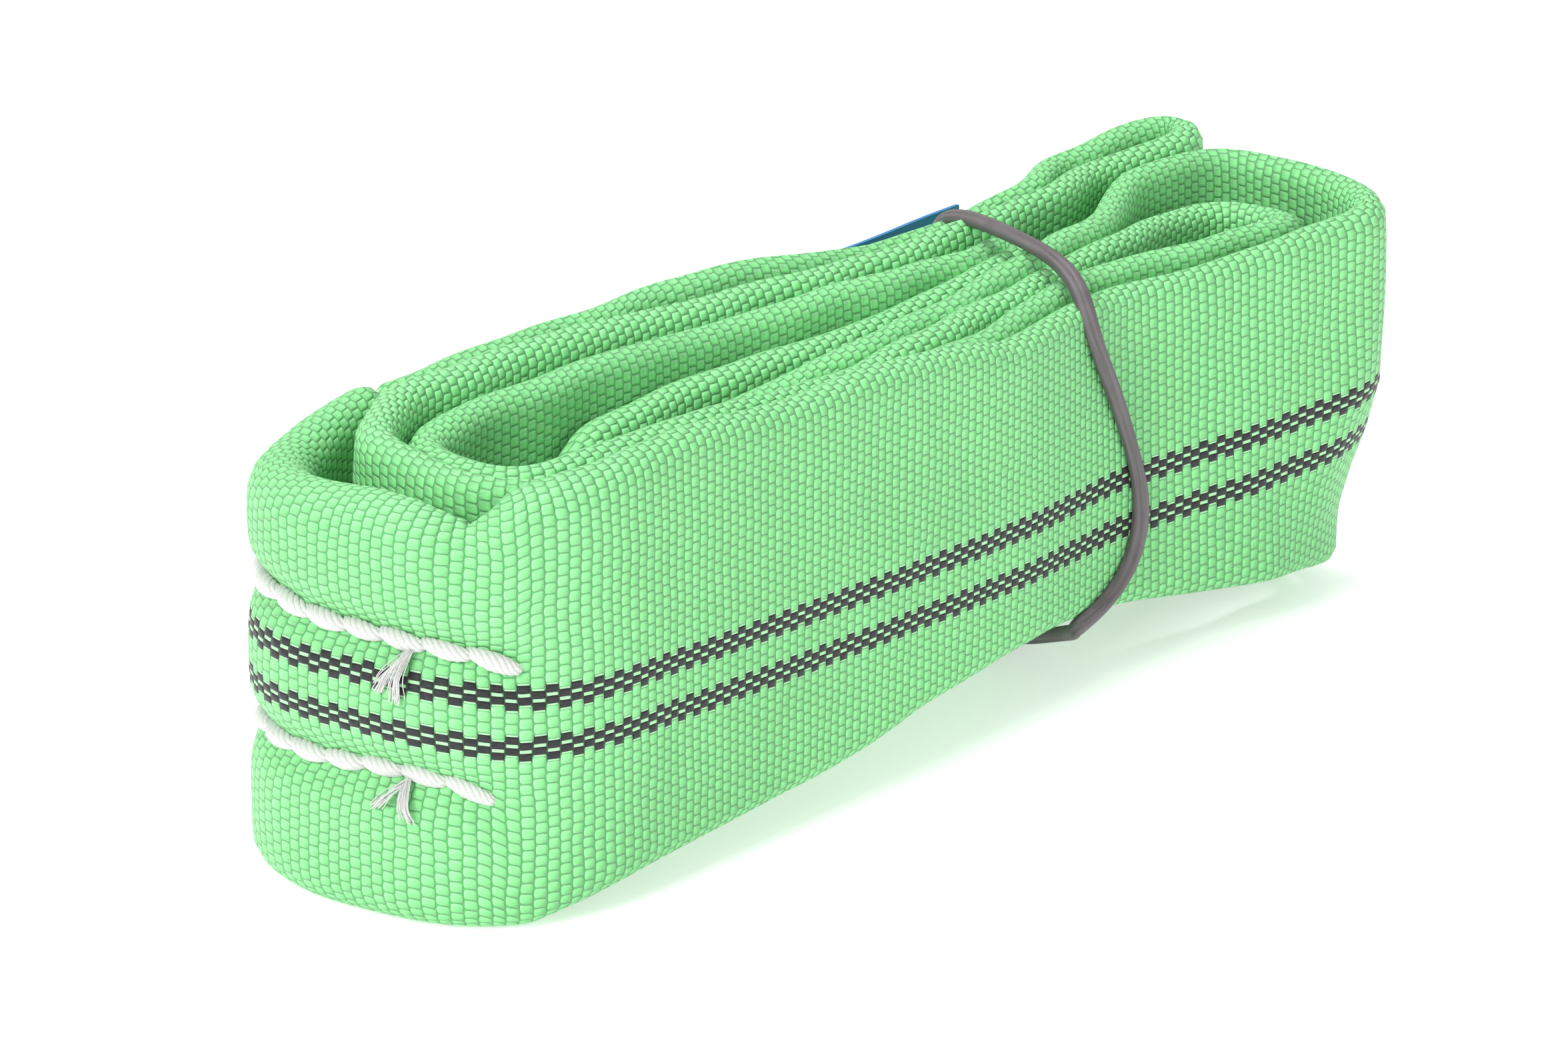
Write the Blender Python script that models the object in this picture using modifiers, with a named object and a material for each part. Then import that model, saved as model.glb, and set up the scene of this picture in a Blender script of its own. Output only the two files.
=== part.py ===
"""Endless polyester round sling, folded twice into a bundle that a rubber band holds.

The flat sleeve stands on edge, so its width is the bundle's height. Its eight legs run along X and
lie side by side along Y. Four bends, nested in each other, close the left end (-X) and four loops
close the right end (+X). The outermost left bend carries the sleeve's lapped joint, which two rows
of hand stitching hold. Metres, +Z up, origin at the bottom centre of the bundle.
"""
import math

import bpy
import bmesh
from mathutils import Vector

MM = 0.001

# Driving dimensions
BUNDLE_LENGTH = 197 * MM      # outside of the left bend to outside of the right loops
SLEEVE_WIDTH = 62 * MM        # flat width of the sleeve
LEG_THICKNESS = 5.4 * MM      # one leg, where nothing presses on it
JOINT_THICKNESS = 10 * MM     # the lapped joint at the middle of the left end
SLEEVE_WALL = 0.8 * MM        # woven cloth of the sleeve
LAP_LENGTH = 67 * MM          # the sleeve's outer end over its inner end
CLEARANCE = 0.3 * MM          # between any two pieces that touch
CORE_SLACK = 0.4 * MM         # between the core and the cloth round it
CORE_LEAST = 0.3 * MM         # thinnest the core gets under a stitch row
BEND_SAG = 0.5 * MM           # how far the bend's inner face stands in between its rings

THREAD_RADIUS = 1.25 * MM     # needle thread at the middle of a stitch
THREAD_DIVE_RADIUS = 0.55 * MM  # needle thread where a stitch goes into the cloth
LOCK_RADIUS = 0.45 * MM       # locking thread on the inner side of the bend
STITCH_LENGTH = 6.2 * MM
STITCH_COUNT = 10
LOCK_MARGIN = 4 * MM          # how much earlier than the needle thread the locking thread ends
ROW_HEIGHTS = (0.33, 0.645)  # stitch rows, as shares of the sleeve's width

BAND_RADIUS = 0.9 * MM        # rubber band's strand
LABEL_LENGTH = 65 * MM        # free part of the label
LABEL_HEIGHT = 50 * MM
LABEL_THICKNESS = 0.7 * MM
LABEL_LEAN = math.radians(8)  # how far the free part stands off the back leg's direction
HEM_WIDTH = 8 * MM            # sewn part of the label
SEAM_RADIUS = 0.3 * MM        # thread that sews the label on

# Places along the bundle, as shares of its length from its middle
BEND_START = -0.322
BAND_PLACE = 0.195
HEM_PLACE = -0.07
STATIONS = (BEND_START, -0.05, 0.07, BAND_PLACE, 0.297, 0.358)

# Thickness of a leg against LEG_THICKNESS along the bundle: the rubber band squeezes the waist
SQUEEZE = ((-0.5, 1.0), (BEND_START, 1.0), (-0.05, 0.93), (0.07, 0.85), (BAND_PLACE, 0.76),
           (0.297, 0.8), (0.358, 0.84), (0.5, 0.88))
# Top of the front leg and rise of its bottom edge, against SLEEVE_WIDTH
TOP = ((-0.5, 0.99), (BEND_START, 1.0), (-0.05, 0.985), (BAND_PLACE, 0.96), (0.5, 0.92))
RISE = ((-0.5, 0.0), (-0.42, 0.0), (-0.34, 0.04), (-0.2, 0.1), (-0.02, 0.16), (0.09, 0.205),
        (BAND_PLACE, 0.2), (0.27, 0.15), (0.41, 0.09), (0.5, 0.07))
RISE_FADE = 0.55              # how fast the rise fades from the front leg to the back ones
LEAN_PLACE = 0.315            # middle of the stretch where the legs lean across the bundle
LEAN_REACH = 0.08
LEAN_ROOM = 0.8 * MM
WAIST_REACH = 11 * MM         # how far along the bundle the band holds its bottom off the floor

# Each leg's place across the bundle at each station, in leg pitches from the middle, and how far
# its top edge lies below the front leg's there, against SLEEVE_WIDTH
LEGS = {
    "a_front": ((-4.3, -4.69, -4.85, -4.67, -5.29, -5.38), (0, 0, 0, 0, 0, 0)),
    "b_front": ((-3.1, -3.61, -3.8, -3.67, -4.03, -4.09), (0.07, 0.045, 0.05, 0.02, 0, 0)),
    "c_front": ((-2.03, -2.58, -2.77, -2.67, -1.93, -1.05), (0.05, 0.055, 0.03, 0.01, 0.01, 0.015)),
    "d_front": ((None, -1.55, -1.72, -1.67, -0.8, 0.75), (None, 0.075, 0.04, 0, 0, 0)),
    "d_back": ((None, -0.19, -0.61, -0.67, None, None), (None, 0.08, 0.05, 0.01, None, None)),
    "c_back": ((2.03, 1.12, 0.48, 0.42, None, None), (0.03, 0.02, 0.01, 0, None, None)),
    "b_back": ((3.1, 2.36, 1.74, 1.57, 1.33, 1.98), (-0.02, 0, 0, 0, 0, 0)),
    "a_back": ((4.3, 3.85, 3.13, 2.59, 2.43, 3.13), (0.05, 0.01, 0, 0, 0, 0)),
}
# Bends: where they start, as a share of the length, the pitches of their two legs, how far their
# middle reaches beyond the start, in pitches, how square they are, and how far their top edge lies
# low at the first leg, in the middle and at the last leg
LEFT_BENDS = {
    "a": (BEND_START, -4.3, 4.3, None, 0.8, (0, 0, 0.05)),
    "b": (BEND_START, -3.1, 3.1, 3.3, 0.85, (0.07, 0, -0.02)),
    "c": (BEND_START, -2.03, 2.03, 2.2, 0.9, (0.05, 0.02, 0.03)),
    "d": (-0.23, -1.2, 0.7, 1.4, 0.95, (0.13, 0.08, 0.13)),
}
RIGHT_BENDS = {
    "a_front": (0.4, -5.35, 0.95, 3.15, 0.64, (0, 0.01, 0)),
    "b_front": (0.392, -4.05, -0.95, 1.35, 0.85, (0, 0.01, 0.02)),
    "d_back": (0.204, -0.66, 0.63, 0.76, 1.0, (0, 0, 0)),
    "b_back": (0.465, 1.68, 3.08, None, 1.0, (0, 0, 0)),
}
CORNER_DIP = 0.09             # dimple in the outer bend's top edge at its front corner


def read(table, at):
    """Value of a table of (position, value) pairs on a smooth curve through them."""
    if at <= table[0][0]:
        return table[0][1]
    if at >= table[-1][0]:
        return table[-1][1]
    i = next(n for n in range(len(table) - 1) if at <= table[n + 1][0])

    def slope(n):
        if n in (0, len(table) - 1):
            return 0.0
        return (table[n + 1][1] - table[n - 1][1]) / (table[n + 1][0] - table[n - 1][0])

    span = table[i + 1][0] - table[i][0]
    t = (at - table[i][0]) / span
    return ((2 * t**3 - 3 * t**2 + 1) * table[i][1] + (t**3 - 2 * t**2 + t) * span * slope(i)
            + (3 * t**2 - 2 * t**3) * table[i + 1][1] + (t**3 - t**2) * span * slope(i + 1))


def leg_thickness(share):
    """Thickness of a leg; the band flattens those that lean across the bundle a little more."""
    lean = LEAN_ROOM * math.exp(-((share - LEAN_PLACE) / LEAN_REACH)**4)
    return LEG_THICKNESS * read(SQUEEZE, share) - lean


def leg_pitch(share):
    """Distance between the middles of two legs that touch."""
    return LEG_THICKNESS * read(SQUEEZE, share) + CLEARANCE + 0.05 * MM


def place(share, pitches, dip=0.0, swell=0.0):
    """A point of the route: x, y, dip of the top edge and share of the joint's extra thickness."""
    return Vector((share * BUNDLE_LENGTH, pitches * leg_pitch(share), dip, swell))


def leg_points(name, outward):
    """Route of a leg between its bends, towards +X when outward."""
    across, dips = LEGS[name]
    points = [place(*row) for row in zip(STATIONS, across, dips) if row[1] is not None]
    return points if outward else points[::-1]


def bend_reach(share, pitches, side, swell):
    """How far a bend's middle line goes beyond its start; None fills the bundle's length."""
    if pitches is not None:
        return pitches * leg_pitch(share)
    thickness = JOINT_THICKNESS if swell else leg_thickness(side * 0.5)
    return BUNDLE_LENGTH / 2 - abs(share) * BUNDLE_LENGTH - thickness / 2


def bend_points(row, side, steps, swell=False, corner_dip=0.0):
    """Points of a U-bend from its front leg round to its back leg; side is -1 left, +1 right."""
    share, first, last, pitches, square, dips = row
    reach = bend_reach(share, pitches, side, swell)
    front, back = place(share, first), place(share, last)
    middle, half = (front + back) / 2, (back.y - front.y) / 2
    points = []
    for n in range(steps + 1):
        angle = math.pi * (n / steps - 0.5)
        along = reach * max(math.cos(angle), 0.0)**square
        across = half * math.copysign(abs(math.sin(angle))**square, angle)
        rounded = max(math.cos(angle), 0.0)**0.7
        dimple = corner_dip * math.exp(-((angle + 0.95) / 0.3)**2)
        turned = (angle / math.pi + 0.5)
        dip = dips[0] * (1 - turned) + dips[2] * turned + dips[1] * rounded + dimple
        points.append(Vector((middle.x + side * along, middle.y + across, dip,
                              rounded if swell else 0.0)))
    return points


def route_points():
    """The sleeve's whole closed route, from the back leg of the outer left bend to its front."""
    left = {name: bend_points(row, -1, 14 if name == "a" else 8, name == "a",
                              CORNER_DIP if name == "a" else 0.0)
            for name, row in LEFT_BENDS.items()}
    right = {name: bend_points(row, 1, 8) for name, row in RIGHT_BENDS.items()}
    points = left["a"][::-1]
    points += leg_points("a_front", True) + right["a_front"] + leg_points("d_front", False)
    points += left["d"] + leg_points("d_back", True) + right["d_back"] + leg_points("c_back", False)
    points += left["c"][::-1] + leg_points("c_front", True) + right["b_front"][::-1]
    points += leg_points("b_front", False) + left["b"] + leg_points("b_back", True)
    points += right["b_back"] + leg_points("a_back", False)
    kept = [points[0]]
    for point in points[1:]:
        if (point.xy - kept[-1].xy).length > 1 * MM:
            kept.append(point)
    if (kept[0].xy - kept[-1].xy).length < 1 * MM:
        kept.pop()
    return kept


def fine_route(points, step=1 * MM):
    """Closed centripetal Catmull-Rom curve through the points, cut into short equal steps."""
    dense = []
    count = len(points)
    for i in range(count):
        p = [points[(i + k) % count] for k in (-1, 0, 1, 2)]
        knots = [0.0]
        for a, b in zip(p, p[1:]):
            knots.append(knots[-1] + max((b.xy - a.xy).length, 1e-6)**0.5)
        pieces = max(2, int((p[2].xy - p[1].xy).length / (0.5 * step)))
        for n in range(pieces):
            t = knots[1] + (knots[2] - knots[1]) * n / pieces
            row = list(p)
            for level in (1, 2, 3):
                row = [row[j].lerp(row[j + 1], (t - knots[j]) / (knots[j + level] - knots[j]))
                       for j in range(len(row) - 1)]
            dense.append(row[0])
    dense.append(dense[0])
    lengths = [0.0]
    for a, b in zip(dense, dense[1:]):
        lengths.append(lengths[-1] + (b.xy - a.xy).length)
    total = lengths[-1]
    steps = round(total / step)
    route, j = [], 0
    for n in range(steps):
        at = total * n / steps
        while lengths[j + 1] < at:
            j += 1
        share = (at - lengths[j]) / max(lengths[j + 1] - lengths[j], 1e-9)
        route.append(dense[j].lerp(dense[j + 1], share))
    return route, total


ROUTE, ROUTE_LENGTH = fine_route(route_points())


def route_at(distance):
    """Point, tangent and sideways direction of the route, which runs round and round."""
    at = (distance / ROUTE_LENGTH * len(ROUTE)) % len(ROUTE)
    i = int(at) % len(ROUTE)
    point = ROUTE[i].lerp(ROUTE[(i + 1) % len(ROUTE)], at - i)
    tangent = (ROUTE[(i + 2) % len(ROUTE)].xy - ROUTE[i - 1].xy).normalized()
    return point, tangent, Vector((tangent.y, -tangent.x))


def front_leg_y(x):
    """Middle of the front leg at a place along the bundle."""
    table = [(share * BUNDLE_LENGTH, across * leg_pitch(share))
             for share, across in zip(STATIONS, LEGS["a_front"][0])]
    return read(table, x)


def waist_lift(x):
    """Height of the lowest legs above the floor, where the rubber band passes under them."""
    room = 2 * BAND_RADIUS + CLEARANCE + 0.5 * MM
    return room * math.exp(-((x - BAND_PLACE * BUNDLE_LENGTH) / WAIST_REACH)**4) * 1.05


def leg_limits(point):
    """Half thickness, bottom and top of the sleeve at a point of the route."""
    share = point.x / BUNDLE_LENGTH
    thickness = leg_thickness(share)
    half = (thickness + (JOINT_THICKNESS - thickness) * point.w) / 2
    top = SLEEVE_WIDTH * (read(TOP, share) - point.z)
    rise = SLEEVE_WIDTH * read(RISE, share) - RISE_FADE * (point.y - front_leg_y(point.x))
    return half, max(0.0, waist_lift(point.x), rise), top


def pinch(half, swell, height):
    """Half thickness left at a height, where the stitch rows pull the joint in."""
    least = 2 * SLEEVE_WALL + 2 * CORE_SLACK + CORE_LEAST
    depth = max(0.0, half - least) * min(1.0, 1.6 * swell)
    pull = sum(math.exp(-((height - row) / 0.055)**2) for row in ROW_HEIGHTS)
    return half - depth * min(1.0, pull)


def leg_section(point, inset, heights):
    """Outline of the sleeve across its route, as (sideways, z) pairs, moved inwards by inset."""
    half, low, top = leg_limits(point)
    half, low, top = half - inset, low + inset, top - inset
    cap = min(1.5 * half, (top - low) / 6)
    side = [(half, low + cap)]
    for height in heights:
        z = low + height * (top - low)
        side.append((pinch(half + inset, point.w, height) - inset, z))
    side += [(half, top - cap), (0.7 * half, top - 0.3 * cap)]
    low_edge = [(0.62 * half, low)]
    right = low_edge + side
    left = [(-across, z) for across, z in reversed(right)]
    return right + [(0.0, top)] + left


SLEEVE_HEIGHTS = (0.2, ROW_HEIGHTS[0], 0.5, ROW_HEIGHTS[1], 0.8)
CORE_HEIGHTS = (ROW_HEIGHTS[0], 0.5, ROW_HEIGHTS[1])


def stations(start, end, turn=math.radians(24), stride=26 * MM, waist_stride=6 * MM):
    """Distances along the route, close together where it turns or passes the rubber band."""
    picked, at, gone, step = [start], start, 0.0, 1 * MM
    last = route_at(start)[1]
    while at + step < end - 0.5 * step:
        at += step
        point, tangent, _ = route_at(at)
        gone += abs(last.angle_signed(tangent))
        last = tangent
        by_band = abs(point.x - BAND_PLACE * BUNDLE_LENGTH) < 2 * WAIST_REACH
        if gone > turn or at - picked[-1] >= (waist_stride if by_band else stride):
            picked.append(at)
            gone = 0.0
    if end - picked[-1] < 3 * MM and len(picked) > 1:
        picked.pop()
    return picked + [end]


def ring(distance, inset, heights):
    point, _, sideways = route_at(distance)
    outline = leg_section(point, inset, heights)
    return [Vector((point.x + sideways.x * across, point.y + sideways.y * across, z))
            for across, z in outline]


def loft(name, rings, closed):
    """Mesh object through rings of equal count; open ends are left open."""
    mesh = bpy.data.meshes.new(name)
    shape = bmesh.new()
    rows = [[shape.verts.new(corner) for corner in one] for one in rings]
    pairs = list(zip(rows, rows[1:])) + ([(rows[-1], rows[0])] if closed else [])
    for a, b in pairs:
        for n in range(len(a)):
            m = (n + 1) % len(a)
            shape.faces.new((a[n], a[m], b[m], b[n]))
    bmesh.ops.recalc_face_normals(shape, faces=shape.faces)
    shape.to_mesh(mesh)
    shape.free()
    return bpy.data.objects.new(name, mesh)


def shared_places():
    """Distances of the rings that sleeve and core share, once round from the sleeve's outer end."""
    marks = [LAP_LENGTH + 1 * MM, LAP_LENGTH + 3 * MM, ROUTE_LENGTH - 16 * MM, ROUTE_LENGTH - 14 * MM,
             ROUTE_LENGTH - 2 * MM]
    return sorted(set(stations(0.0, LAP_LENGTH) + stations(LAP_LENGTH, ROUTE_LENGTH)[:-1] + marks))


def lap_inset(distance):
    """How far the sleeve's inner end steps in, under its outer end."""
    step = SLEEVE_WALL + CLEARANCE
    return step * min(1.0, max(0.0, (distance - ROUTE_LENGTH + 14 * MM) / (12 * MM)))


def woven_sleeve():
    """Flat woven tube: one endless length whose inner end slips into its outer end."""
    places = shared_places()
    places += [ROUTE_LENGTH + at for at in places if at <= LAP_LENGTH]
    rings = [ring(at, lap_inset(at), SLEEVE_HEIGHTS) for at in places]
    sleeve = loft("woven_sleeve", rings, closed=False)
    wall = sleeve.modifiers.new("cloth", "SOLIDIFY")
    wall.thickness = SLEEVE_WALL
    wall.offset = -1.0
    return sleeve


def core_inset(distance):
    """Depth of the core's surface below the sleeve's outside: two walls in the lap, one elsewhere."""
    wall = SLEEVE_WALL + CORE_SLACK
    into = distance if distance < ROUTE_LENGTH / 2 else distance - ROUTE_LENGTH
    lap = min(1.0, max(0.0, (into + 16 * MM) / (2 * MM)))
    lap *= min(1.0, max(0.0, (LAP_LENGTH + 3 * MM - into) / (2 * MM)))
    return wall * (1.0 + lap)


def core_yarn_hank():
    """Endless hank of polyester yarn that carries the load, flattened inside the sleeve."""
    rings = [ring(at, core_inset(at), CORE_HEIGHTS) for at in shared_places()]
    return loft("core_yarn_hank", rings, closed=True)


def wire(name, points, radius, cyclic=False, resolution=2):
    """Round strand through points of (place, thickness share)."""
    curve = bpy.data.curves.new(name, "CURVE")
    curve.dimensions = "3D"
    curve.bevel_depth = radius
    curve.bevel_resolution = resolution
    curve.use_fill_caps = not cyclic
    spline = curve.splines.new("POLY")
    spline.points.add(len(points) - 1)
    for knot, (spot, share) in zip(spline.points, points):
        knot.co = (*spot, 1.0)
        knot.radius = share
    spline.use_cyclic_u = cyclic
    return bpy.data.objects.new(name, curve)


def row_spot(distance, row, outside, lift):
    """Place on the joint's stitch row, on its outer or inner side, lifted off the cloth."""
    point, _, sideways = route_at(distance)
    half, low, top = leg_limits(point)
    away = pinch(half, point.w, row) + lift
    side = outside * sideways
    return Vector((point.x + side.x * away, point.y + side.y * away, low + row * (top - low)))


def outer_side():
    """+1 or -1: which way sideways points out of the outer left bend."""
    point, _, sideways = route_at(LAP_LENGTH / 2)
    return 1.0 if sideways.x * point.x > 0 else -1.0


def needle_thread(name, row, start):
    """Thick hand-sewn thread on the outside of the joint: plump stitches, thin where they dive."""
    per_stitch = 6
    points = []
    for n in range(STITCH_COUNT * per_stitch + 1):
        wave = abs(math.sin(math.pi * n / per_stitch))**0.6
        radius = THREAD_DIVE_RADIUS + (THREAD_RADIUS - THREAD_DIVE_RADIUS) * wave
        at = start + n * STITCH_LENGTH / per_stitch
        points.append((row_spot(at, row, outer_side(), radius + CLEARANCE + 0.1 * MM),
                       radius / THREAD_RADIUS))
    return wire(name, points, THREAD_RADIUS)


def locking_thread(name, row, start):
    """Thinner thread that holds the needle thread's loops on the inner side of the joint."""
    count = 2 * STITCH_COUNT
    length = STITCH_COUNT * STITCH_LENGTH - 2 * LOCK_MARGIN
    points = []
    for n in range(count + 1):
        at = start + LOCK_MARGIN + n * length / count
        points.append((row_spot(at, row, -outer_side(), LOCK_RADIUS + CLEARANCE + BEND_SAG), 1.0))
    return wire(name, points, LOCK_RADIUS)


def back_face(x):
    """Outer face of the back leg at a place along the bundle."""
    table = [(share * BUNDLE_LENGTH, across * leg_pitch(share) + leg_thickness(share) / 2)
             for share, across in zip(STATIONS, LEGS["a_back"][0])]
    return read(table, x)


def front_face(x):
    """Outer face of the front leg at a place along the bundle."""
    return front_leg_y(x) - leg_thickness(x / BUNDLE_LENGTH) / 2


def round_corners(corners, radius, steps=4):
    """Closed outline through corners, each turned on a curve of about the radius."""
    points = []
    count = len(corners)
    for i, corner in enumerate(corners):
        to_last = corners[i - 1] - corner
        to_next = corners[(i + 1) % count] - corner
        a = corner + to_last.normalized() * min(radius, to_last.length / 2.2)
        b = corner + to_next.normalized() * min(radius, to_next.length / 2.2)
        for n in range(steps + 1):
            t = n / steps
            points.append(a * (1 - t)**2 + corner * (2 * t * (1 - t)) + b * t**2)
    return points


def rubber_band():
    """Stretched rubber loop round the bundle's waist; its front run bows towards +X."""
    waist = BAND_PLACE * BUNDLE_LENGTH
    bow = 0.065 * BUNDLE_LENGTH
    off = BAND_RADIUS + CLEARANCE + 0.25 * MM
    top = SLEEVE_WIDTH * read(TOP, BAND_PLACE) + off
    front_low = SLEEVE_WIDTH * read(RISE, BAND_PLACE)
    front_x = waist - 0.6 * bow
    front = front_face(front_x) - off
    back_x = waist + 0.3 * bow
    back = back_face(back_x) + off
    slope_end = front_leg_y(waist) + (front_low - 3 * MM) / RISE_FADE
    under = BAND_RADIUS + 0.1 * MM
    corners = [Vector((front_x, front, top)), Vector((back_x, back, top)),
               Vector((back_x, back, under)), Vector((waist, slope_end, under)),
               Vector((front_x, front, front_low - off))]
    outline = round_corners(corners, 3 * MM)
    front_run = []
    steps = 6
    for n in range(1, steps):
        share = n / steps
        z = front_low + share * (top - front_low)
        x = front_x + bow * math.sin(math.pi * share)**1.2 * 1.1
        front_run.append(Vector((x, front_face(x) - off, z)))
    outline = front_run + outline
    return wire("rubber_band", [(spot, 1.0) for spot in outline], BAND_RADIUS, cyclic=True)


def hem_frame():
    """Corner, direction and outward normal of the label's sewn edge on the back leg."""
    x = HEM_PLACE * BUNDLE_LENGTH
    start = Vector((x, back_face(x) + CLEARANCE + 0.25 * MM))
    end = start + Vector((HEM_WIDTH, back_face(x + HEM_WIDTH) - back_face(x)))
    along = (end - start).normalized()
    return start, along, Vector((-along.y, along.x))


def sheet(name, length, height, thickness):
    """Flat rectangular sheet from its origin along +X, +Z and out along +Y."""
    shape = bmesh.new()
    bmesh.ops.create_cube(shape, size=1.0)
    for corner in shape.verts:
        corner.co = Vector(((corner.co.x + 0.5) * length, (corner.co.y + 0.5) * thickness,
                            (corner.co.z + 0.5) * height))
    mesh = bpy.data.meshes.new(name)
    shape.to_mesh(mesh)
    shape.free()
    return bpy.data.objects.new(name, mesh)


def label_low():
    """Height of the label's lower edge."""
    return SLEEVE_WIDTH * 0.88 - LABEL_HEIGHT


def label_hem():
    """Part of the label that is sewn flat onto the back leg."""
    start, along, _ = hem_frame()
    hem = sheet("label_hem", HEM_WIDTH, LABEL_HEIGHT, LABEL_THICKNESS)
    hem.location = (*start, label_low())
    hem.rotation_euler.z = math.atan2(along.y, along.x)
    return hem


def label_hinge():
    """Empty on the fold line between hem and flap, on the label's outer face."""
    start, along, outward = hem_frame()
    fold = start + along * (HEM_WIDTH + CLEARANCE / 2) + outward * LABEL_THICKNESS
    hinge = bpy.data.objects.new("label_fold_axis", None)
    hinge.location = (*fold, label_low())
    hinge.rotation_euler.z = math.atan2(along.y, along.x) + LABEL_LEAN
    return hinge


def label_flap():
    """Free part of the label, which stands straight past the waist."""
    flap = sheet("label_flap", LABEL_LENGTH, LABEL_HEIGHT, LABEL_THICKNESS)
    flap.location = (CLEARANCE / 2, -LABEL_THICKNESS, 0)
    return flap


def label_seam_thread():
    """Thread of the box seam that holds the hem, on the hem's outer face."""
    start, along, outward = hem_frame()
    margin = 1.5 * MM
    face = start + outward * (LABEL_THICKNESS + SEAM_RADIUS + CLEARANCE)
    left, right = face + along * margin, face + along * (HEM_WIDTH - margin)
    low, high = label_low() + margin, label_low() + LABEL_HEIGHT - margin
    corners = [Vector((*left, low)), Vector((*right, low)), Vector((*right, high)), Vector((*left, high))]
    outline = round_corners(corners, 1 * MM, steps=2)
    return wire("label_seam_thread", [(spot, 1.0) for spot in outline], SEAM_RADIUS, cyclic=True)


def material(name, colour, roughness):
    """Principled material of one sub-part."""
    finish = bpy.data.materials.new(name)
    finish.use_nodes = True
    shader = finish.node_tree.nodes["Principled BSDF"]
    shader.inputs["Base Color"].default_value = (*colour, 1.0)
    shader.inputs["Roughness"].default_value = roughness
    shader.inputs["Metallic"].default_value = 0.0
    return finish


GREEN = (0.16, 0.62, 0.18)
WHITE = (0.86, 0.86, 0.84)
RAW_YARN = (0.82, 0.81, 0.76)
BLUE = (0.02, 0.2, 0.42)
GREY = (0.09, 0.085, 0.09)


def clear_scene():
    for item in list(bpy.data.objects):
        bpy.data.objects.remove(item, do_unlink=True)


def finish_part(part, colour, roughness, group, frame):
    """Give a part its material, smooth shading, collection and parent."""
    part.data.materials.append(material(part.name, colour, roughness))
    if part.type == "MESH":
        part.data.shade_smooth()
        part.data.set_sharp_from_angle(angle=math.radians(40))
    group.objects.link(part)
    part.parent = frame


def world_limits(parts):
    """Lowest and highest corners of the finished parts."""
    bpy.context.view_layer.update()
    graph = bpy.context.evaluated_depsgraph_get()
    corners = []
    for part in parts:
        shape = part.evaluated_get(graph)
        mesh = shape.to_mesh()
        corners += [shape.matrix_world @ vertex.co for vertex in mesh.vertices]
        shape.to_mesh_clear()
    return ([min(c[i] for c in corners) for i in range(3)], [max(c[i] for c in corners) for i in range(3)])


def build():
    clear_scene()
    group = bpy.data.collections.new("round_sling")
    bpy.context.scene.collection.children.link(group)
    frame = bpy.data.objects.new("bundle_frame", None)
    hinge = label_hinge()
    group.objects.link(frame)
    group.objects.link(hinge)
    hinge.parent = frame
    row_start = LAP_LENGTH / 2 - STITCH_COUNT * STITCH_LENGTH / 2
    low_row, high_row = ROW_HEIGHTS
    parts = [
        (woven_sleeve(), GREEN, 0.75, frame),
        (core_yarn_hank(), RAW_YARN, 0.8, frame),
        (needle_thread("upper_needle_thread", high_row, row_start + 2 * MM), WHITE, 0.7, frame),
        (needle_thread("lower_needle_thread", low_row, row_start), WHITE, 0.7, frame),
        (locking_thread("upper_locking_thread", high_row, row_start + 2 * MM), WHITE, 0.7, frame),
        (locking_thread("lower_locking_thread", low_row, row_start), WHITE, 0.7, frame),
        (rubber_band(), GREY, 0.6, frame),
        (label_hem(), BLUE, 0.45, frame),
        (label_flap(), BLUE, 0.45, hinge),
        (label_seam_thread(), WHITE, 0.7, frame),
    ]
    for part, colour, roughness, parent in parts:
        finish_part(part, colour, roughness, group, parent)
    low, high = world_limits([row[0] for row in parts])
    frame.location = (-(low[0] + high[0]) / 2, -(low[1] + high[1]) / 2, -low[2])
    bpy.context.view_layer.update()


build()
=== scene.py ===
"""Folded round sling: woven sleeve with its core, hand-sewn joint, rubber band and label.

Metres, +Z up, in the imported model's frame. Every size below is the real object's.
"""
import math

import bpy
import numpy as np
from bpy.props import FloatProperty, FloatVectorProperty, IntProperty, PointerProperty
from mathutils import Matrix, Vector


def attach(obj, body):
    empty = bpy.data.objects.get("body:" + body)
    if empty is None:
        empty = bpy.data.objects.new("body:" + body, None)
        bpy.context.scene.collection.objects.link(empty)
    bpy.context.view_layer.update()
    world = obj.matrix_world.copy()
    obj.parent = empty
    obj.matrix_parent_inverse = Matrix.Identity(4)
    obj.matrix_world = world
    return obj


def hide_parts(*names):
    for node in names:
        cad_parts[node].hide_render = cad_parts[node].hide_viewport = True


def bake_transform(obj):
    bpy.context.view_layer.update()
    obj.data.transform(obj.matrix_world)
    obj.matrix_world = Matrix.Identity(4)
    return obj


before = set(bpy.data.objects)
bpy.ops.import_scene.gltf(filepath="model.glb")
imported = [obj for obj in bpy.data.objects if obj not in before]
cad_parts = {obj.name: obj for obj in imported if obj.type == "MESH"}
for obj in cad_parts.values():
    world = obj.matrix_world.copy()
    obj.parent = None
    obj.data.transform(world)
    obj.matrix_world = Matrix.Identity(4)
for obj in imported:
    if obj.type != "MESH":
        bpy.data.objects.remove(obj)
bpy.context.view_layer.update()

bl_info = {
    "name": "Folded Round Sling",
    "version": (1, 0, 0),
    "blender": (4, 5, 0),
    "location": "View3D > Sidebar > Sling",
    "description": "Builds a folded round sling with its stitching, rubber band and label",
    "category": "Add Mesh",
}

MM = 0.001

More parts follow.
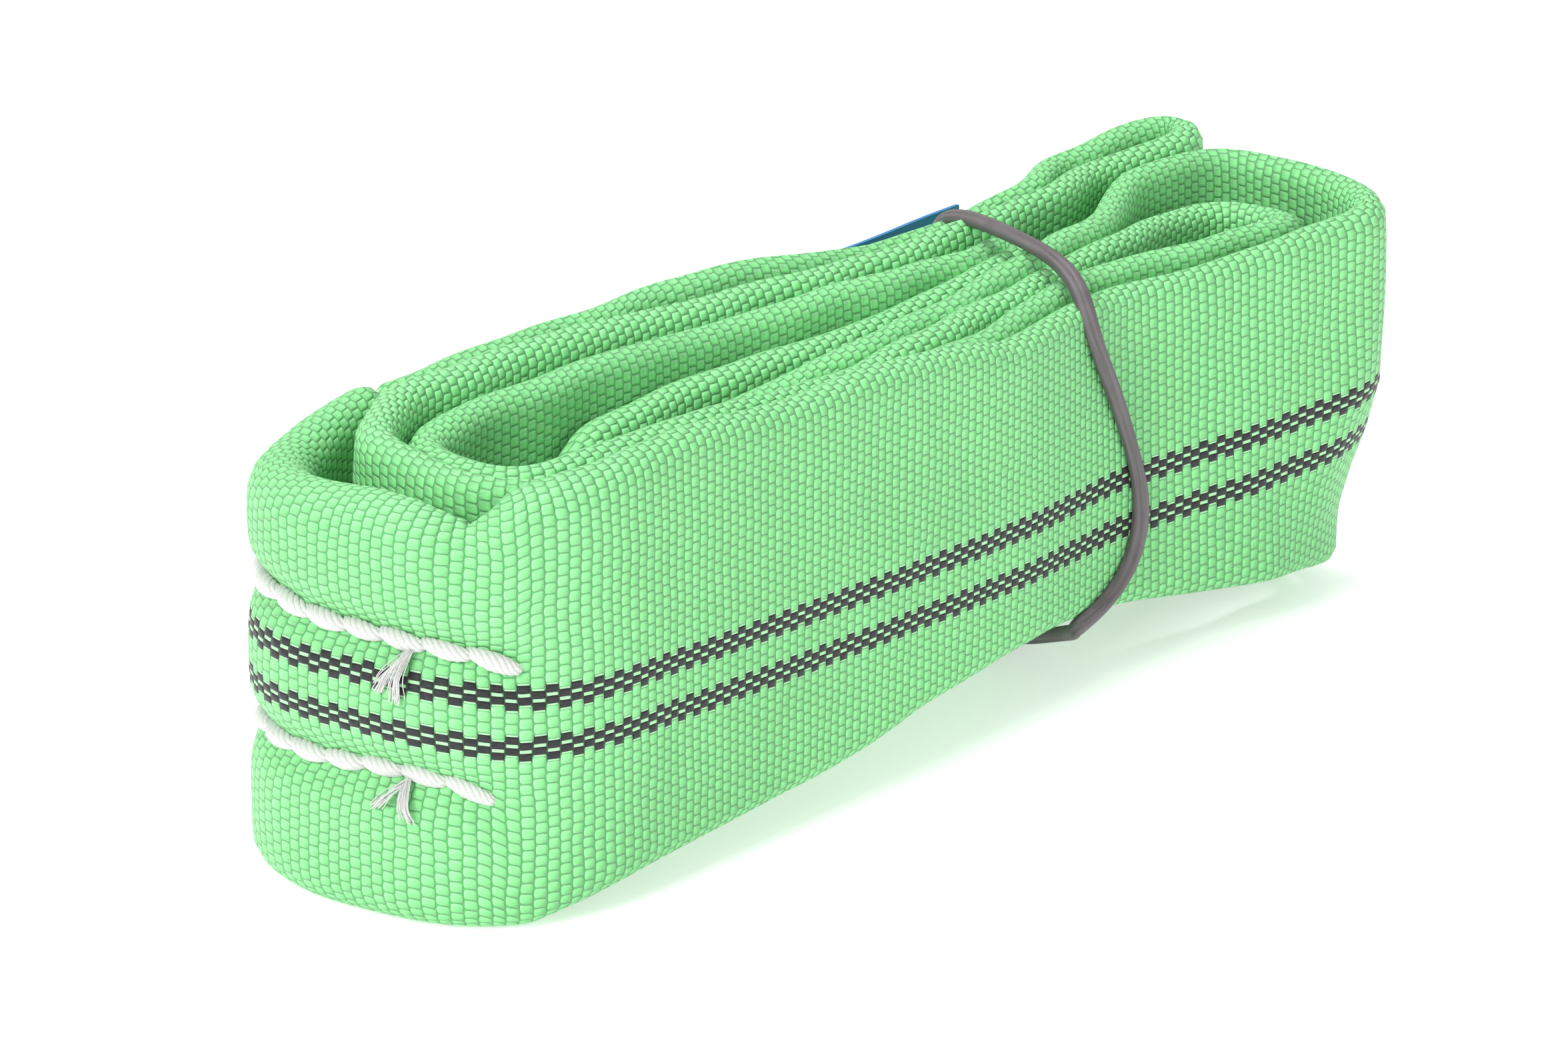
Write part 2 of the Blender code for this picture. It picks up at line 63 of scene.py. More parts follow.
# --- Route of the sleeve ------------------------------------------------------------------------
BUNDLE_LENGTH = 197 * MM
SLEEVE_WIDTH = 62 * MM         # flat width of the sleeve
LEG_THICKNESS = 5.4 * MM       # one leg, where nothing presses on it
JOINT_THICKNESS = 10 * MM
SPACE = 0.35 * MM              # between two legs
BUNDLE_SHIFT = (0.352 * MM, -0.888 * MM)  # from the route's own middle to the frame's origin
FOOT_LEAN = (0.643, -0.766)    # direction in which the outer right loop's foot is drawn in
HEM_WIDTH = 8 * MM             # sewn part of the label
LABEL_LOW = SLEEVE_WIDTH * 0.88 - 50 * MM  # the label's lower edge above the floor
# Places along the bundle are shares of its length, from -0.5 at the joint to 0.5
BEND_START = -0.322
BAND_PLACE = 0.195
HEM_PLACE = -0.07
STATIONS = (BEND_START, -0.05, 0.07, BAND_PLACE, 0.297, 0.358)
# A leg's thickness, top edge and lower edge along the bundle, as shares
SQUEEZE = ((-0.5, 1.0), (BEND_START, 1.0), (-0.05, 0.93), (0.07, 0.85), (BAND_PLACE, 0.76),
           (0.297, 0.8), (0.358, 0.84), (0.5, 0.88))
TOP = ((-0.5, 0.99), (BEND_START, 1.0), (-0.05, 0.985), (BAND_PLACE, 0.96), (0.5, 0.92))
RISE = ((-0.5, 0.0), (-0.456, 0.0), (-0.405, 0.036), (-0.355, 0.06), (-0.29, 0.075), (-0.206, 0.092),
        (-0.122, 0.112), (-0.036, 0.16), (0.09, 0.192), (0.167, 0.174), (0.27, 0.137), (0.36, 0.105),
        (0.43, 0.074), (0.5, 0.04))
RISE_FADE = 0.2                # how fast the lower edges come down behind the front leg

# Heights above the floor, as (distance along the route, height) in mm
ROW_LINES = (
    ((0, 21.3), (41, 21.2), (47.5, 21.8), (53.5, 21.6), (58.5, 20.6), (63, 18.6), (70, 17)),
    ((0, 41.4), (33.5, 41.8), (38, 41), (50, 40.5), (55.5, 40.0), (61, 39.0), (66, 37.2), (73, 35.5)),
)
ROW_ENDS = (63 * MM, 66 * MM)
STRIPE_LINE = ((0, 35.4), (48, 35.4), (54.5, 35.0), (60, 34.2), (66, 33.3), (85, 32.9), (96, 32.4),
               (118, 31.8), (152, 30.8), (165, 30.2), (181, 29.5), (199, 29.6), (219, 30.4),
               (235, 31.1), (262, 31.0), (1300, 31.0), (1340, 35.4))
# What the top edge adds to its plain height, and how far the joint bulges outwards, in mm
TOP_LINE = ((0, 0.9), (8, -0.8), (16, -2.0), (35, -1.2), (46, -1.0), (52, -1.6), (57, -3.0), (60, -4.2),
            (62.5, -2.8), (66, 0.4), (73, 1.8), (94, 1.9), (115, 0.7), (131, 0.8), (156, -1.2), (164, -2.6),
            (176, -2.4), (188, -2.4), (203, -2.0), (218, -0.8), (233, -0.2), (245, 1.4), (262, 2.5),
            (290, 2.9), (330, 0.7), (400, 0), (1110, 0), (1135, 2.2), (1160, 3.5), (1205, 3.5),
            (1228, 3.2), (1245, 0.8), (1265, -0.2), (1290, 0.7), (1320, 0.5), (1345, 1.2), (1360, 1.4))
BULGE_LINE = ((-10, 0), (4, 1.4), (17, 2.4), (27, 2.6), (35, 1.8), (43, 0.7), (50, 0.2), (56, 0))
# Front run of the rubber band, from below: x, height and how far it cuts in, in mm
BAND_FRONT = ((24.5, 10.6, 1.6), (29.2, 11.4, 0.6), (35.4, 12.8, 0), (39.6, 16.2, 0), (41.7, 20.4, 0),
              (42.1, 25.1, 0), (40.9, 30.0, 0), (39.0, 35.2, 0), (35.6, 42.9, 0), (32.9, 47.6, 0.1),
              (30.2, 51.9, -0.3), (28.0, 55.2, -0.3))
# Each leg at the stations: distance from the middle in leg pitches, and dip of its top edge
LEGS = {
    "a_front": ((-4.3, -4.69, -4.85, -4.67, -5.29, -5.38), (0, 0, 0, 0, 0, 0)),
    "b_front": ((-3.1, -3.61, -3.8, -3.67, -4.03, -4.09), (0.07, 0.045, 0.05, 0.02, 0, 0)),
    "c_front": ((-2.03, -2.58, -2.77, -2.67, -1.93, -1.05), (0.05, 0.055, 0.03, 0.01, 0.01, 0.015)),
    "d_front": ((None, -1.55, -1.72, -1.67, -0.8, 0.75), (None, 0.075, 0.04, 0, 0, 0)),
    "d_back": ((None, -0.19, -0.61, -0.67, None, None), (None, 0.08, 0.05, 0.01, None, None)),
    "c_back": ((2.03, 1.12, 0.48, 0.42, None, None), (0.03, 0.02, 0.01, 0, None, None)),
    "b_back": ((3.1, 2.36, 1.74, 1.57, 1.33, 1.98), (-0.02, 0, 0, 0, 0, 0)),
    "a_back": ((4.3, 3.85, 3.13, 2.59, 2.43, 3.13), (0.05, 0.01, 0, 0, 0, 0)),
}
# Each bend: start, front and back leg in pitches, reach, squareness, dips at front, middle and back
LEFT_BENDS = {
    "a": (BEND_START, -4.3, 4.3, None, 0.8, (0, 0, 0.05)),
    "b": (BEND_START, -3.1, 3.1, 3.3, 0.85, (0.07, 0, -0.02)),
    "c": (BEND_START, -2.03, 2.03, 2.2, 0.9, (0.05, 0.02, 0.03)),
    "d": (-0.23, -1.2, 0.7, 1.4, 0.95, (0.13, 0.08, 0.13)),
}
RIGHT_BENDS = {
    "a_front": (0.4, -5.35, 0.95, 3.15, 0.64, (0, 0.01, 0)),
    "b_front": (0.392, -4.05, -0.95, 1.35, 0.85, (0, 0.01, 0.02)),
    "d_back": (0.204, -0.66, 0.63, 0.76, 1.0, (0, 0, 0)),
    "b_back": (0.465, 1.68, 3.08, None, 1.0, (0, 0, 0)),
}


def read(table, at):
    """Value of a table of (position, value) pairs on a smooth curve through them."""
    if at <= table[0][0]:
        return table[0][1]
    if at >= table[-1][0]:
        return table[-1][1]
    i = next(n for n in range(len(table) - 1) if at <= table[n + 1][0])

    def slope(n):
        if n in (0, len(table) - 1):
            return 0.0
        return (table[n + 1][1] - table[n - 1][1]) / (table[n + 1][0] - table[n - 1][0])

    span = table[i + 1][0] - table[i][0]
    t = (at - table[i][0]) / span
    return ((2 * t**3 - 3 * t**2 + 1) * table[i][1] + (t**3 - 2 * t**2 + t) * span * slope(i)
            + (3 * t**2 - 2 * t**3) * table[i + 1][1] + (t**3 - t**2) * span * slope(i + 1))


def sampled(table, at):
    """The same for an array of places, from a fine lookup."""
    grid = np.linspace(table[0][0], table[-1][0], 240)
    return np.interp(at, grid, [read(table, x) for x in grid])


def leg_thickness(share):
    """Thickness of a leg; the band squeezes the waist and the legs that lean across."""
    lean = 0.35 * MM * math.exp(-((share - 0.315) / 0.08)**4)
    return LEG_THICKNESS * read(SQUEEZE, share) - lean


def leg_pitch(share):
    return LEG_THICKNESS * read(SQUEEZE, share) + SPACE


def place(share, pitches, dip=0.0, swell=0.0):
    return np.array((share * BUNDLE_LENGTH, pitches * leg_pitch(share), dip, swell))


def leg_points(name, outward):
    across, dips = LEGS[name]
    points = [place(*row) for row in zip(STATIONS, across, dips) if row[1] is not None]
    return points if outward else points[::-1]


def bend_points(row, side, steps, swell=False):
    """U-bend from its front leg round to its back leg; side is -1 left, +1 right."""
    share, first, last, pitches, square, dips = row
    if pitches is None:
        thickness = JOINT_THICKNESS if swell else leg_thickness(side * 0.5)
        reach = BUNDLE_LENGTH / 2 - abs(share) * BUNDLE_LENGTH - thickness / 2
    else:
        reach = pitches * leg_pitch(share)
    front, back = place(share, first), place(share, last)
    middle, half = (front + back) / 2, (back[1] - front[1]) / 2
    points = []
    for n in range(steps + 1):
        angle = math.pi * (n / steps - 0.5)
        along = reach * max(math.cos(angle), 0.0)**square
        across = half * math.copysign(abs(math.sin(angle))**square, angle)
        rounded = max(math.cos(angle), 0.0)**0.7
        turned = angle / math.pi + 0.5
        dip = dips[0] * (1 - turned) + dips[2] * turned + dips[1] * rounded
        points.append(np.array((middle[0] + side * along, middle[1] + across, dip,
                                rounded if swell else 0.0)))
    return points


def route_points():
    left = {name: bend_points(row, -1, 14 if name == "a" else 8, name == "a")
            for name, row in LEFT_BENDS.items()}
    right = {name: bend_points(row, 1, 8) for name, row in RIGHT_BENDS.items()}
    points = left["a"][::-1]
    points += leg_points("a_front", True) + right["a_front"] + leg_points("d_front", False)
    points += left["d"] + leg_points("d_back", True) + right["d_back"] + leg_points("c_back", False)
    points += left["c"][::-1] + leg_points("c_front", True) + right["b_front"][::-1]
    points += leg_points("b_front", False) + left["b"] + leg_points("b_back", True)
    points += right["b_back"] + leg_points("a_back", False)
    kept = [points[0]]
    for point in points[1:]:
        if np.hypot(*(point - kept[-1])[:2]) > 1 * MM:
            kept.append(point)
    if np.hypot(*(kept[0] - kept[-1])[:2]) < 1 * MM:
        kept.pop()
    return kept


def fine_route(points, step=0.5 * MM):
    """Closed centripetal Catmull-Rom curve in equal steps, then lightly smoothed."""
    dense, count = [], len(points)
    for i in range(count):
        p = [points[(i + k) % count] for k in (-1, 0, 1, 2)]
        knots = [0.0]
        for a, b in zip(p, p[1:]):
            knots.append(knots[-1] + max(np.hypot(*(b - a)[:2]), 1e-6)**0.5)
        pieces = max(2, int(np.hypot(*(p[2] - p[1])[:2]) / (0.4 * step)))
        for n in range(pieces):
            t = knots[1] + (knots[2] - knots[1]) * n / pieces
            row = list(p)
            for level in (1, 2, 3):
                row = [row[j] + (row[j + 1] - row[j]) * (t - knots[j]) / (knots[j + level] - knots[j])
                       for j in range(len(row) - 1)]
            dense.append(row[0])
    dense = np.array(dense + [dense[0]])
    for again in (0, 1):
        lengths = np.concatenate(([0.0], np.cumsum(np.hypot(*np.diff(dense[:, :2], axis=0).T))))
        steps = round(lengths[-1] / step)
        at = np.arange(steps) * lengths[-1] / steps
        route = np.stack([np.interp(at, lengths, dense[:, k]) for k in range(4)], 1)
        if not again:
            route = smooth_ring(route, 4)
            dense = np.vstack((route, route[:1]))
    return route, lengths[-1]


def smooth_ring(values, width):
    """Moving average round a closed row, three times over."""
    for _ in range(3):
        total = sum(np.roll(values, k, axis=0) for k in range(-width, width + 1))
        values = total / (2 * width + 1)
    return values


ROUTE, ROUTE_LENGTH = fine_route(route_points())


def route_at(distances):
    """Place, sideways direction and joint swell of the route at an array of distances."""
    at = np.asarray(distances) / ROUTE_LENGTH * len(ROUTE)
    ring = np.vstack((ROUTE[-4:], ROUTE, ROUTE[:5]))
    index = np.arange(-4, len(ROUTE) + 5)
    at = np.mod(at, len(ROUTE))
    point = np.stack([np.interp(at, index, ring[:, k]) for k in range(4)], 1)
    ahead = np.stack([np.interp(at + 2, index, ring[:, k]) for k in (0, 1)], 1)
    behind = np.stack([np.interp(at - 2, index, ring[:, k]) for k in (0, 1)], 1)
    tangent = ahead - behind
    tangent /= np.linalg.norm(tangent, axis=1, keepdims=True)
    return point, np.stack((tangent[:, 1], -tangent[:, 0]), 1)


def front_leg_y(x):
    table = [(share * BUNDLE_LENGTH, across * leg_pitch(share))
             for share, across in zip(STATIONS, LEGS["a_front"][0])]
    return sampled(table, x)


def back_face(x):
    table = [(share * BUNDLE_LENGTH, across * leg_pitch(share) + leg_thickness(share) / 2)
             for share, across in zip(STATIONS, LEGS["a_back"][0])]
    return sampled(table, x)


def fade(value, start, end):
    """Smooth step from 0 at start to 1 at end."""
    t = np.clip((value - start) / (end - start), 0, 1)
    return t * t * (3 - 2 * t)


def signed(distances):
    """Distances in the route's second half as negative ones."""
    return np.where(distances > ROUTE_LENGTH / 2, distances - ROUTE_LENGTH, distances)


def along_table(table, distances):
    """Value of a table in mm at distances in metres, in metres."""
    keys, values = np.array(table, dtype=float).T
    return np.interp(np.mod(distances, ROUTE_LENGTH) / MM, keys, values) * MM


def row_height(distances, row):
    keys, values = np.array(ROW_LINES[row], dtype=float).T
    return np.interp(signed(distances) / MM, keys, values) * MM


def row_reach(distances, row):
    """1 along a stitch row of the joint, fading to 0 at its two ends."""
    start, end = row_limits(row)
    at = signed(distances)
    return fade(at, start - 5 * MM, start + 3 * MM) * (1 - fade(at, end - 2 * MM, end + 5 * MM))


def row_limits(row):
    settings = bpy.context.scene.sling_stitches
    return ROW_ENDS[row] - settings.count * settings.length, ROW_ENDS[row]


def leg_limits(distances):
    """Half thickness, bottom and top of the sleeve along its route."""
    point, side = route_at(distances)
    push, bulge = np.array(BULGE_LINE, dtype=float).T
    point[:, :2] += side * (np.interp(signed(distances) / MM, push, bulge) * MM)[:, None]
    share = point[:, 0] / BUNDLE_LENGTH
    grid = np.linspace(-0.5, 0.5, 240)
    thickness = np.interp(share, grid, [leg_thickness(x) for x in grid])
    thickness = thickness + 0.25 * MM
    half = (thickness + (JOINT_THICKNESS - thickness) * np.clip(point[:, 3], 0, 1)) / 2
    top = SLEEVE_WIDTH * (sampled(TOP, share) - point[:, 2]) + along_table(TOP_LINE, distances)
    rise = SLEEVE_WIDTH * sampled(RISE, share) - RISE_FADE * (point[:, 1] - front_leg_y(point[:, 0]))
    lift = 2.8 * MM * np.exp(-((point[:, 0] - BAND_PLACE * BUNDLE_LENGTH) / (11 * MM))**4)
    return point, side, half, np.maximum(np.maximum(0.0, lift), rise), top


def notch(distances):
    """Dimple in the top edge where the joint's fat bend turns into the front leg."""
    return np.exp(-((distances - 60 * MM) / (3.6 * MM))**2)


def skew(distances, height):
    """Sideways and lengthwise lean of the outer right loop: full at the top, drawn in at the foot."""
    reach = fade(distances, 218 * MM, 244 * MM) * (1 - fade(distances, 285 * MM, 312 * MM))
    lean = np.interp(height / MM, (0, 5, 12, 18, 23, 31, 60), (-4.8, -4.5, -4.0, -2.5, -0.7, 1.5, 1.6))
    return reach[:, None] * lean * MM


def outline(distances, count, inset=0.0):
    """Rings of the sleeve: world places (n, count, 3) and each corner's distance above the stripe.

    A ring starts and ends at the middle of the bottom edge, goes up the outer side and down the
    inner one, in equal steps.
    """
    settings = bpy.context.scene.sling_sleeve
    point, side, half, low, top = leg_limits(distances)
    dent = notch(distances)
    wander = 0.35 * MM * np.sin(distances / (17 * MM)) + 0.3 * MM * np.sin(distances / (7.3 * MM) + 1)
    top = top + wander
    half, low, top = half - inset, low + inset, top - inset
    n, m = len(distances), 90
    t = (1 - np.cos(np.pi * np.linspace(0, 1, m))) / 2
    z = low[:, None] + (top - low)[:, None] * t
    edge = half[:, None] * 1.08
    near = np.minimum(z - low[:, None], top[:, None] - z)
    cap = np.sqrt(np.clip(1 - (1 - np.clip(near / edge, 0, 1))**2, 0, 1))
    body = 1 + 0.05 * np.sin(np.pi * t)[None, :]
    pull = np.zeros((2, n, m))
    for index in (0, 1):
        reach = row_reach(distances, index)[:, None]
        away = z - row_height(distances, index)[:, None]
        crease = np.exp(-(np.abs(away) / settings.crease_width)**1.5)
        pull[0] += reach * crease
        pull[1] += reach * crease * 0.8
    least = 1.5 * MM - inset
    depth = np.maximum(half - least, 0)[:, None]
    a_out = (half[:, None] * body - depth * np.minimum(pull[0], 1)) * cap
    a_in = (half[:, None] * body - depth * np.minimum(pull[1], 1)) * cap
    near_top = np.exp(-((top[:, None] - z) / (9 * MM))**2)
    a_out -= 1.6 * MM * dent[:, None] * near_top
    lean = 0.5 * MM * np.sin(distances / (23 * MM) + 2)[:, None] * (t - 0.5) * 2
    ripple = settings.wrinkle * (0.3 + fade(distances, 195 * MM, 240 * MM))[:, None]
    ripple = ripple * np.sin(distances[:, None] / (2.9 * MM) + 2.4 * np.sin(z / (11 * MM)) + 3 * t)
    lean = lean + ripple * np.sin(distances / (31 * MM))[:, None]
    outer = np.stack((a_out + lean, z), 2)
    inner = np.stack((-a_in + lean, z), 2)[:, ::-1]
    loop = np.concatenate((outer, inner[:, 1:]), 1)
    seg = np.hypot(*np.moveaxis(np.diff(loop, axis=1), 2, 0))
    arc = np.concatenate((np.zeros((n, 1)), np.cumsum(seg, 1)), 1)
    stripe_z = along_table(STRIPE_LINE, distances)
    rings = np.empty((n, count, 3))
    above = np.empty((n, count + 1))
    for i in range(n):
        at = np.linspace(0, arc[i, -1], count + 1)
        a = np.interp(at, arc[i], loop[i, :, 0])
        h = np.interp(at, arc[i], loop[i, :, 1])
        zero = np.interp(stripe_z[i], outer[i, :, 1], arc[i, :m])
        above[i] = at - zero
        rings[i, :, 0] = point[i, 0] + side[i, 0] * a[:-1] + BUNDLE_SHIFT[0]
        rings[i, :, 1] = point[i, 1] + side[i, 1] * a[:-1] + BUNDLE_SHIFT[1]
        rings[i, :, 2] = h[:-1]
    lean = skew(distances, rings[:, :, 2])
    rings[:, :, 0] += FOOT_LEAN[0] * lean
    rings[:, :, 1] += FOOT_LEAN[1] * lean
    return rings, above


def ring_mesh(name, rings, above, distances, closed):
    """Quads between rings with a metric UV map; open ends get a fan."""
    n, m = rings.shape[:2]
    faces, uvs = [], []
    last = n if closed else n - 1
    for i in range(last):
        k = (i + 1) % n
        u0, u1 = distances[i], distances[i + 1] if i + 1 < n else ROUTE_LENGTH
        for j in range(m):
            q = (j + 1) % m
            faces.append((i * m + j, k * m + j, k * m + q, i * m + q))
            uvs += [(u0, above[i, j]), (u1, above[k, j]), (u1, above[k, j + 1]), (u0, above[i, j + 1])]
    verts = rings.reshape(-1, 3)
    if not closed:
        for ring, turn in ((0, 1), (n - 1, -1)):
            centre = len(verts)
            verts = np.vstack((verts, rings[ring].mean(0)))
            for j in range(m):
                q = (j + 1) % m
                corner = (ring * m + j, ring * m + q, centre)
                faces.append(corner[::turn])
                uvs += [(distances[ring], 0.0)] * 3
    mesh = bpy.data.meshes.new(name)
    mesh.from_pydata(verts.tolist(), [], faces)
    layer = mesh.uv_layers.new(name="cloth")
    layer.data.foreach_set("uv", np.array(uvs, dtype=np.float32).ravel())
    mesh.shade_smooth()
    mesh.update()
    obj = bpy.data.objects.new(name, mesh)
    bpy.context.scene.collection.objects.link(obj)
    return obj


# --- Shader helpers -----------------------------------------------------------------------------
class Nodes:
    """Short hand for building a node tree."""

    def __init__(self, tree):
        self.tree = tree

    def add(self, kind, **values):
        node = self.tree.nodes.new(kind)
        for key, value in values.items():
            setattr(node, key, value)
        return node

    def join(self, a, socket):
        if isinstance(a, (int, float, tuple)):
            socket.default_value = a
        else:
            self.tree.links.new(a, socket)

    def math(self, operation, a, b=None, clamp=False):
        node = self.add("ShaderNodeMath", operation=operation, use_clamp=clamp)
        for value, socket in zip((a, b), node.inputs):
            if value is not None:
                self.join(value, socket)
        return node.outputs[0]

    def mix(self, share, a, b, blend="MIX"):
        node = self.add("ShaderNodeMix", data_type="RGBA", blend_type=blend)
        self.join(share, node.inputs["Factor"])
        for value, socket in ((a, node.inputs[6]), (b, node.inputs[7])):
            self.join((*value, 1.0) if isinstance(value, tuple) and len(value) == 3 else value, socket)
        return node.outputs[2]

    def ramp(self, value, low, high, start=0.0, end=1.0, smooth=True):
        node = self.add("ShaderNodeMapRange", interpolation_type="SMOOTHSTEP" if smooth else "LINEAR")
        for key, item in zip(("Value", "From Min", "From Max", "To Min", "To Max"),
                             (value, low, high, start, end)):
            self.join(item, node.inputs[key])
        return node.outputs[0]

    def noise(self, vector, scale, detail):
        node = self.add("ShaderNodeTexNoise", noise_dimensions="3D")
        self.join(vector, node.inputs["Vector"])
        node.inputs["Scale"].default_value = scale
        node.inputs["Detail"].default_value = detail
        return node.outputs["Fac"]

    def vector(self, x, y, z=0.0):
        node = self.add("ShaderNodeCombineXYZ")
        for value, socket in zip((x, y, z), node.inputs):
            self.join(value, socket)
        return node.outputs[0]


def new_group(name, inputs, outputs):
    tree = bpy.data.node_groups.new(name, "ShaderNodeTree")
    for title, kind, default in inputs:
        socket = tree.interface.new_socket(title, in_out="INPUT", socket_type=kind)
        if default is not None:
            socket.default_value = default
    for title, kind in outputs:
        tree.interface.new_socket(title, in_out="OUTPUT", socket_type=kind)
    nodes = Nodes(tree)
    return tree, nodes, nodes.add("NodeGroupInput").outputs, nodes.add("NodeGroupOutput").inputs


def floats_group():
    """Plain weave of plump warp floats: their height, outline, place in the row and stripes, and masks for
    painted light and shade.
    """
    tree, n, put, out = new_group(
        "woven_floats",
        [("Cloth", "NodeSocketVector", None), ("Column Pitch", "NodeSocketFloat", 1.53 * MM),
         ("Row Pitch", "NodeSocketFloat", 0.78 * MM), ("Far Stripe Rows", "NodeSocketFloat", 84.5)],
        [("Height", "NodeSocketFloat"), ("Gap", "NodeSocketFloat"), ("Stripe", "NodeSocketFloat"),
         ("Weft", "NodeSocketFloat"), ("Chance", "NodeSocketFloat"), ("Rim Highlight", "NodeSocketFloat"),
         ("Slope", "NodeSocketFloat")])
    split = n.add("ShaderNodeSeparateXYZ")
    n.join(put["Cloth"], split.inputs[0])
    fine_drift = n.noise(put["Cloth"], 420.0, 2.0)
    broad_drift = n.noise(put["Cloth"], 130.0, 1.0)
    u = n.math("DIVIDE", split.outputs[0], put["Column Pitch"])
    u = n.math("ADD", u, n.math("MULTIPLY", n.math("SUBTRACT", broad_drift, 0.5), 0.5))
    v = n.math("DIVIDE", split.outputs[1], put["Row Pitch"])
    v = n.math("ADD", v, n.math("MULTIPLY", n.math("SUBTRACT", fine_drift, 0.5), 0.22))
    v = n.math("ADD", v, -0.5)
    column = n.math("FLOOR", u)
    x = n.math("SUBTRACT", n.math("SUBTRACT", u, column), 0.5)
    odd = n.math("FLOORED_MODULO", column, 2.0)
    pair = n.math("ROUND", n.math("MULTIPLY", n.math("SUBTRACT", v, odd), 0.5))
    row = n.math("ADD", n.math("MULTIPLY", pair, 2.0), odd)
    y = n.math("SUBTRACT", v, row)
    stripe = None
    far = put["Far Stripe Rows"]
    for centre in (-0.5, -9.5, far, n.math("ADD", far, 9.0)):
        inside = n.math("LESS_THAN", n.math("ABSOLUTE", n.math("SUBTRACT", row, centre)), 2.0)
        stripe = inside if stripe is None else n.math("MAXIMUM", stripe, inside)
    chance = n.add("ShaderNodeTexWhiteNoise", noise_dimensions="2D")
    n.join(n.vector(column, row), chance.inputs["Vector"])
    high = n.math("ADD", 0.97, n.math("MULTIPLY", stripe, -0.27))
    ex = n.math("POWER", n.math("ABSOLUTE", n.math("MULTIPLY", x, 2.04)), 4.5)
    ey = n.math("POWER", n.math("DIVIDE", n.math("ABSOLUTE", y), high), 3.6)
    edge = n.math("ADD", ex, ey)
    float_height = n.math("POWER", n.math("SUBTRACT", 1.0, edge, clamp=True), 0.5)
    off_row = n.math("ABSOLUTE", y)
    weft_x = n.math("POWER", n.math("ABSOLUTE", n.math("MULTIPLY", x, 2.3)), 6.0)
    weft_y = n.math("POWER", n.math("MULTIPLY", n.math("SUBTRACT", 1.0, off_row), 2.7), 4.0)
    weft_room = n.math("SUBTRACT", 1.0, n.math("ADD", weft_x, weft_y), clamp=True)
    weft_height = n.math("POWER", weft_room, 0.5)
    past_float = n.math("GREATER_THAN", off_row, n.math("MULTIPLY", high, 1.02))
    bare = n.math("MULTIPLY", stripe, past_float)
    low_weft = n.math("MULTIPLY", weft_height, 0.45)
    height = n.mix(bare, n.vector(float_height, 0, 0), n.vector(low_weft, 0, 0))
    height_split = n.add("ShaderNodeSeparateXYZ")
    n.join(height, height_split.inputs[0])
    n.join(height_split.outputs[0], out["Height"])
    weft_solid = n.math("MULTIPLY", bare, n.ramp(weft_height, 0.1, 0.5))
    solid = n.math("MAXIMUM", n.ramp(float_height, 0.08, 0.5), weft_solid)
    # Mask for the painted shade in the gaps between the floats
    n.join(n.math("SUBTRACT", 1.0, solid, clamp=True), out["Gap"])
    n.join(n.math("MULTIPLY", stripe, n.math("SUBTRACT", 1.0, bare)), out["Stripe"])
    n.join(bare, out["Weft"])
    n.join(chance.outputs["Value"], out["Chance"])
    # Mask for the painted highlight: 0 in a float's middle, 1 at its rim
    n.join(n.ramp(edge, 0.02, 0.7), out["Rim Highlight"])
    # Gradient across each float for its painted light and shade, rising to the right and downwards
    n.join(n.math("SUBTRACT", x, n.math("MULTIPLY", y, 0.35)), out["Slope"])
    return tree


def streaks_group():
    """Fine filaments that run along the yarn, as a value round one half."""
    tree, n, put, out = new_group(
        "filament_streaks",
        [("Cloth", "NodeSocketVector", None), ("Along", "NodeSocketFloat", 500.0),
         ("Across", "NodeSocketFloat", 9000.0)],
        [("Streak", "NodeSocketFloat")])
    split = n.add("ShaderNodeSeparateXYZ")
    n.join(put["Cloth"], split.inputs[0])
    stretched = n.vector(n.math("MULTIPLY", split.outputs[0], put["Along"]),
                         n.math("MULTIPLY", split.outputs[1], put["Across"]),
                         n.math("MULTIPLY", split.outputs[2], put["Across"]))
    n.join(n.noise(stretched, 1.0, 2.0), out["Streak"])
    return tree


def new_material(name, roughness, sheen=0.0, coords="UV"):
    """Principled material; gives its node helper, shader and the coordinate socket."""
    material = bpy.data.materials.new(name)
    material.use_nodes = True
    nodes = Nodes(material.node_tree)
    shader = material.node_tree.nodes["Principled BSDF"]
    shader.inputs["Roughness"].default_value = roughness
    shader.inputs["Sheen Weight"].default_value = sheen
    shader.inputs["Specular IOR Level"].default_value = 0.35
    coordinates = nodes.add("ShaderNodeTexCoord").outputs[coords]
    return material, nodes, shader, coordinates


def place_group(nodes, name, **values):
    node = nodes.add("ShaderNodeGroup", node_tree=bpy.data.node_groups[name])
    for key, value in values.items():
        nodes.join(value, node.inputs[key.replace("_", " ")])
    return node.outputs


def bump(nodes, shader, height, distance, strength):
    node = nodes.add("ShaderNodeBump")
    node.inputs["Distance"].default_value = distance
    node.inputs["Strength"].default_value = strength
    nodes.join(height, node.inputs["Height"])
    nodes.join(node.outputs[0], shader.inputs["Normal"])


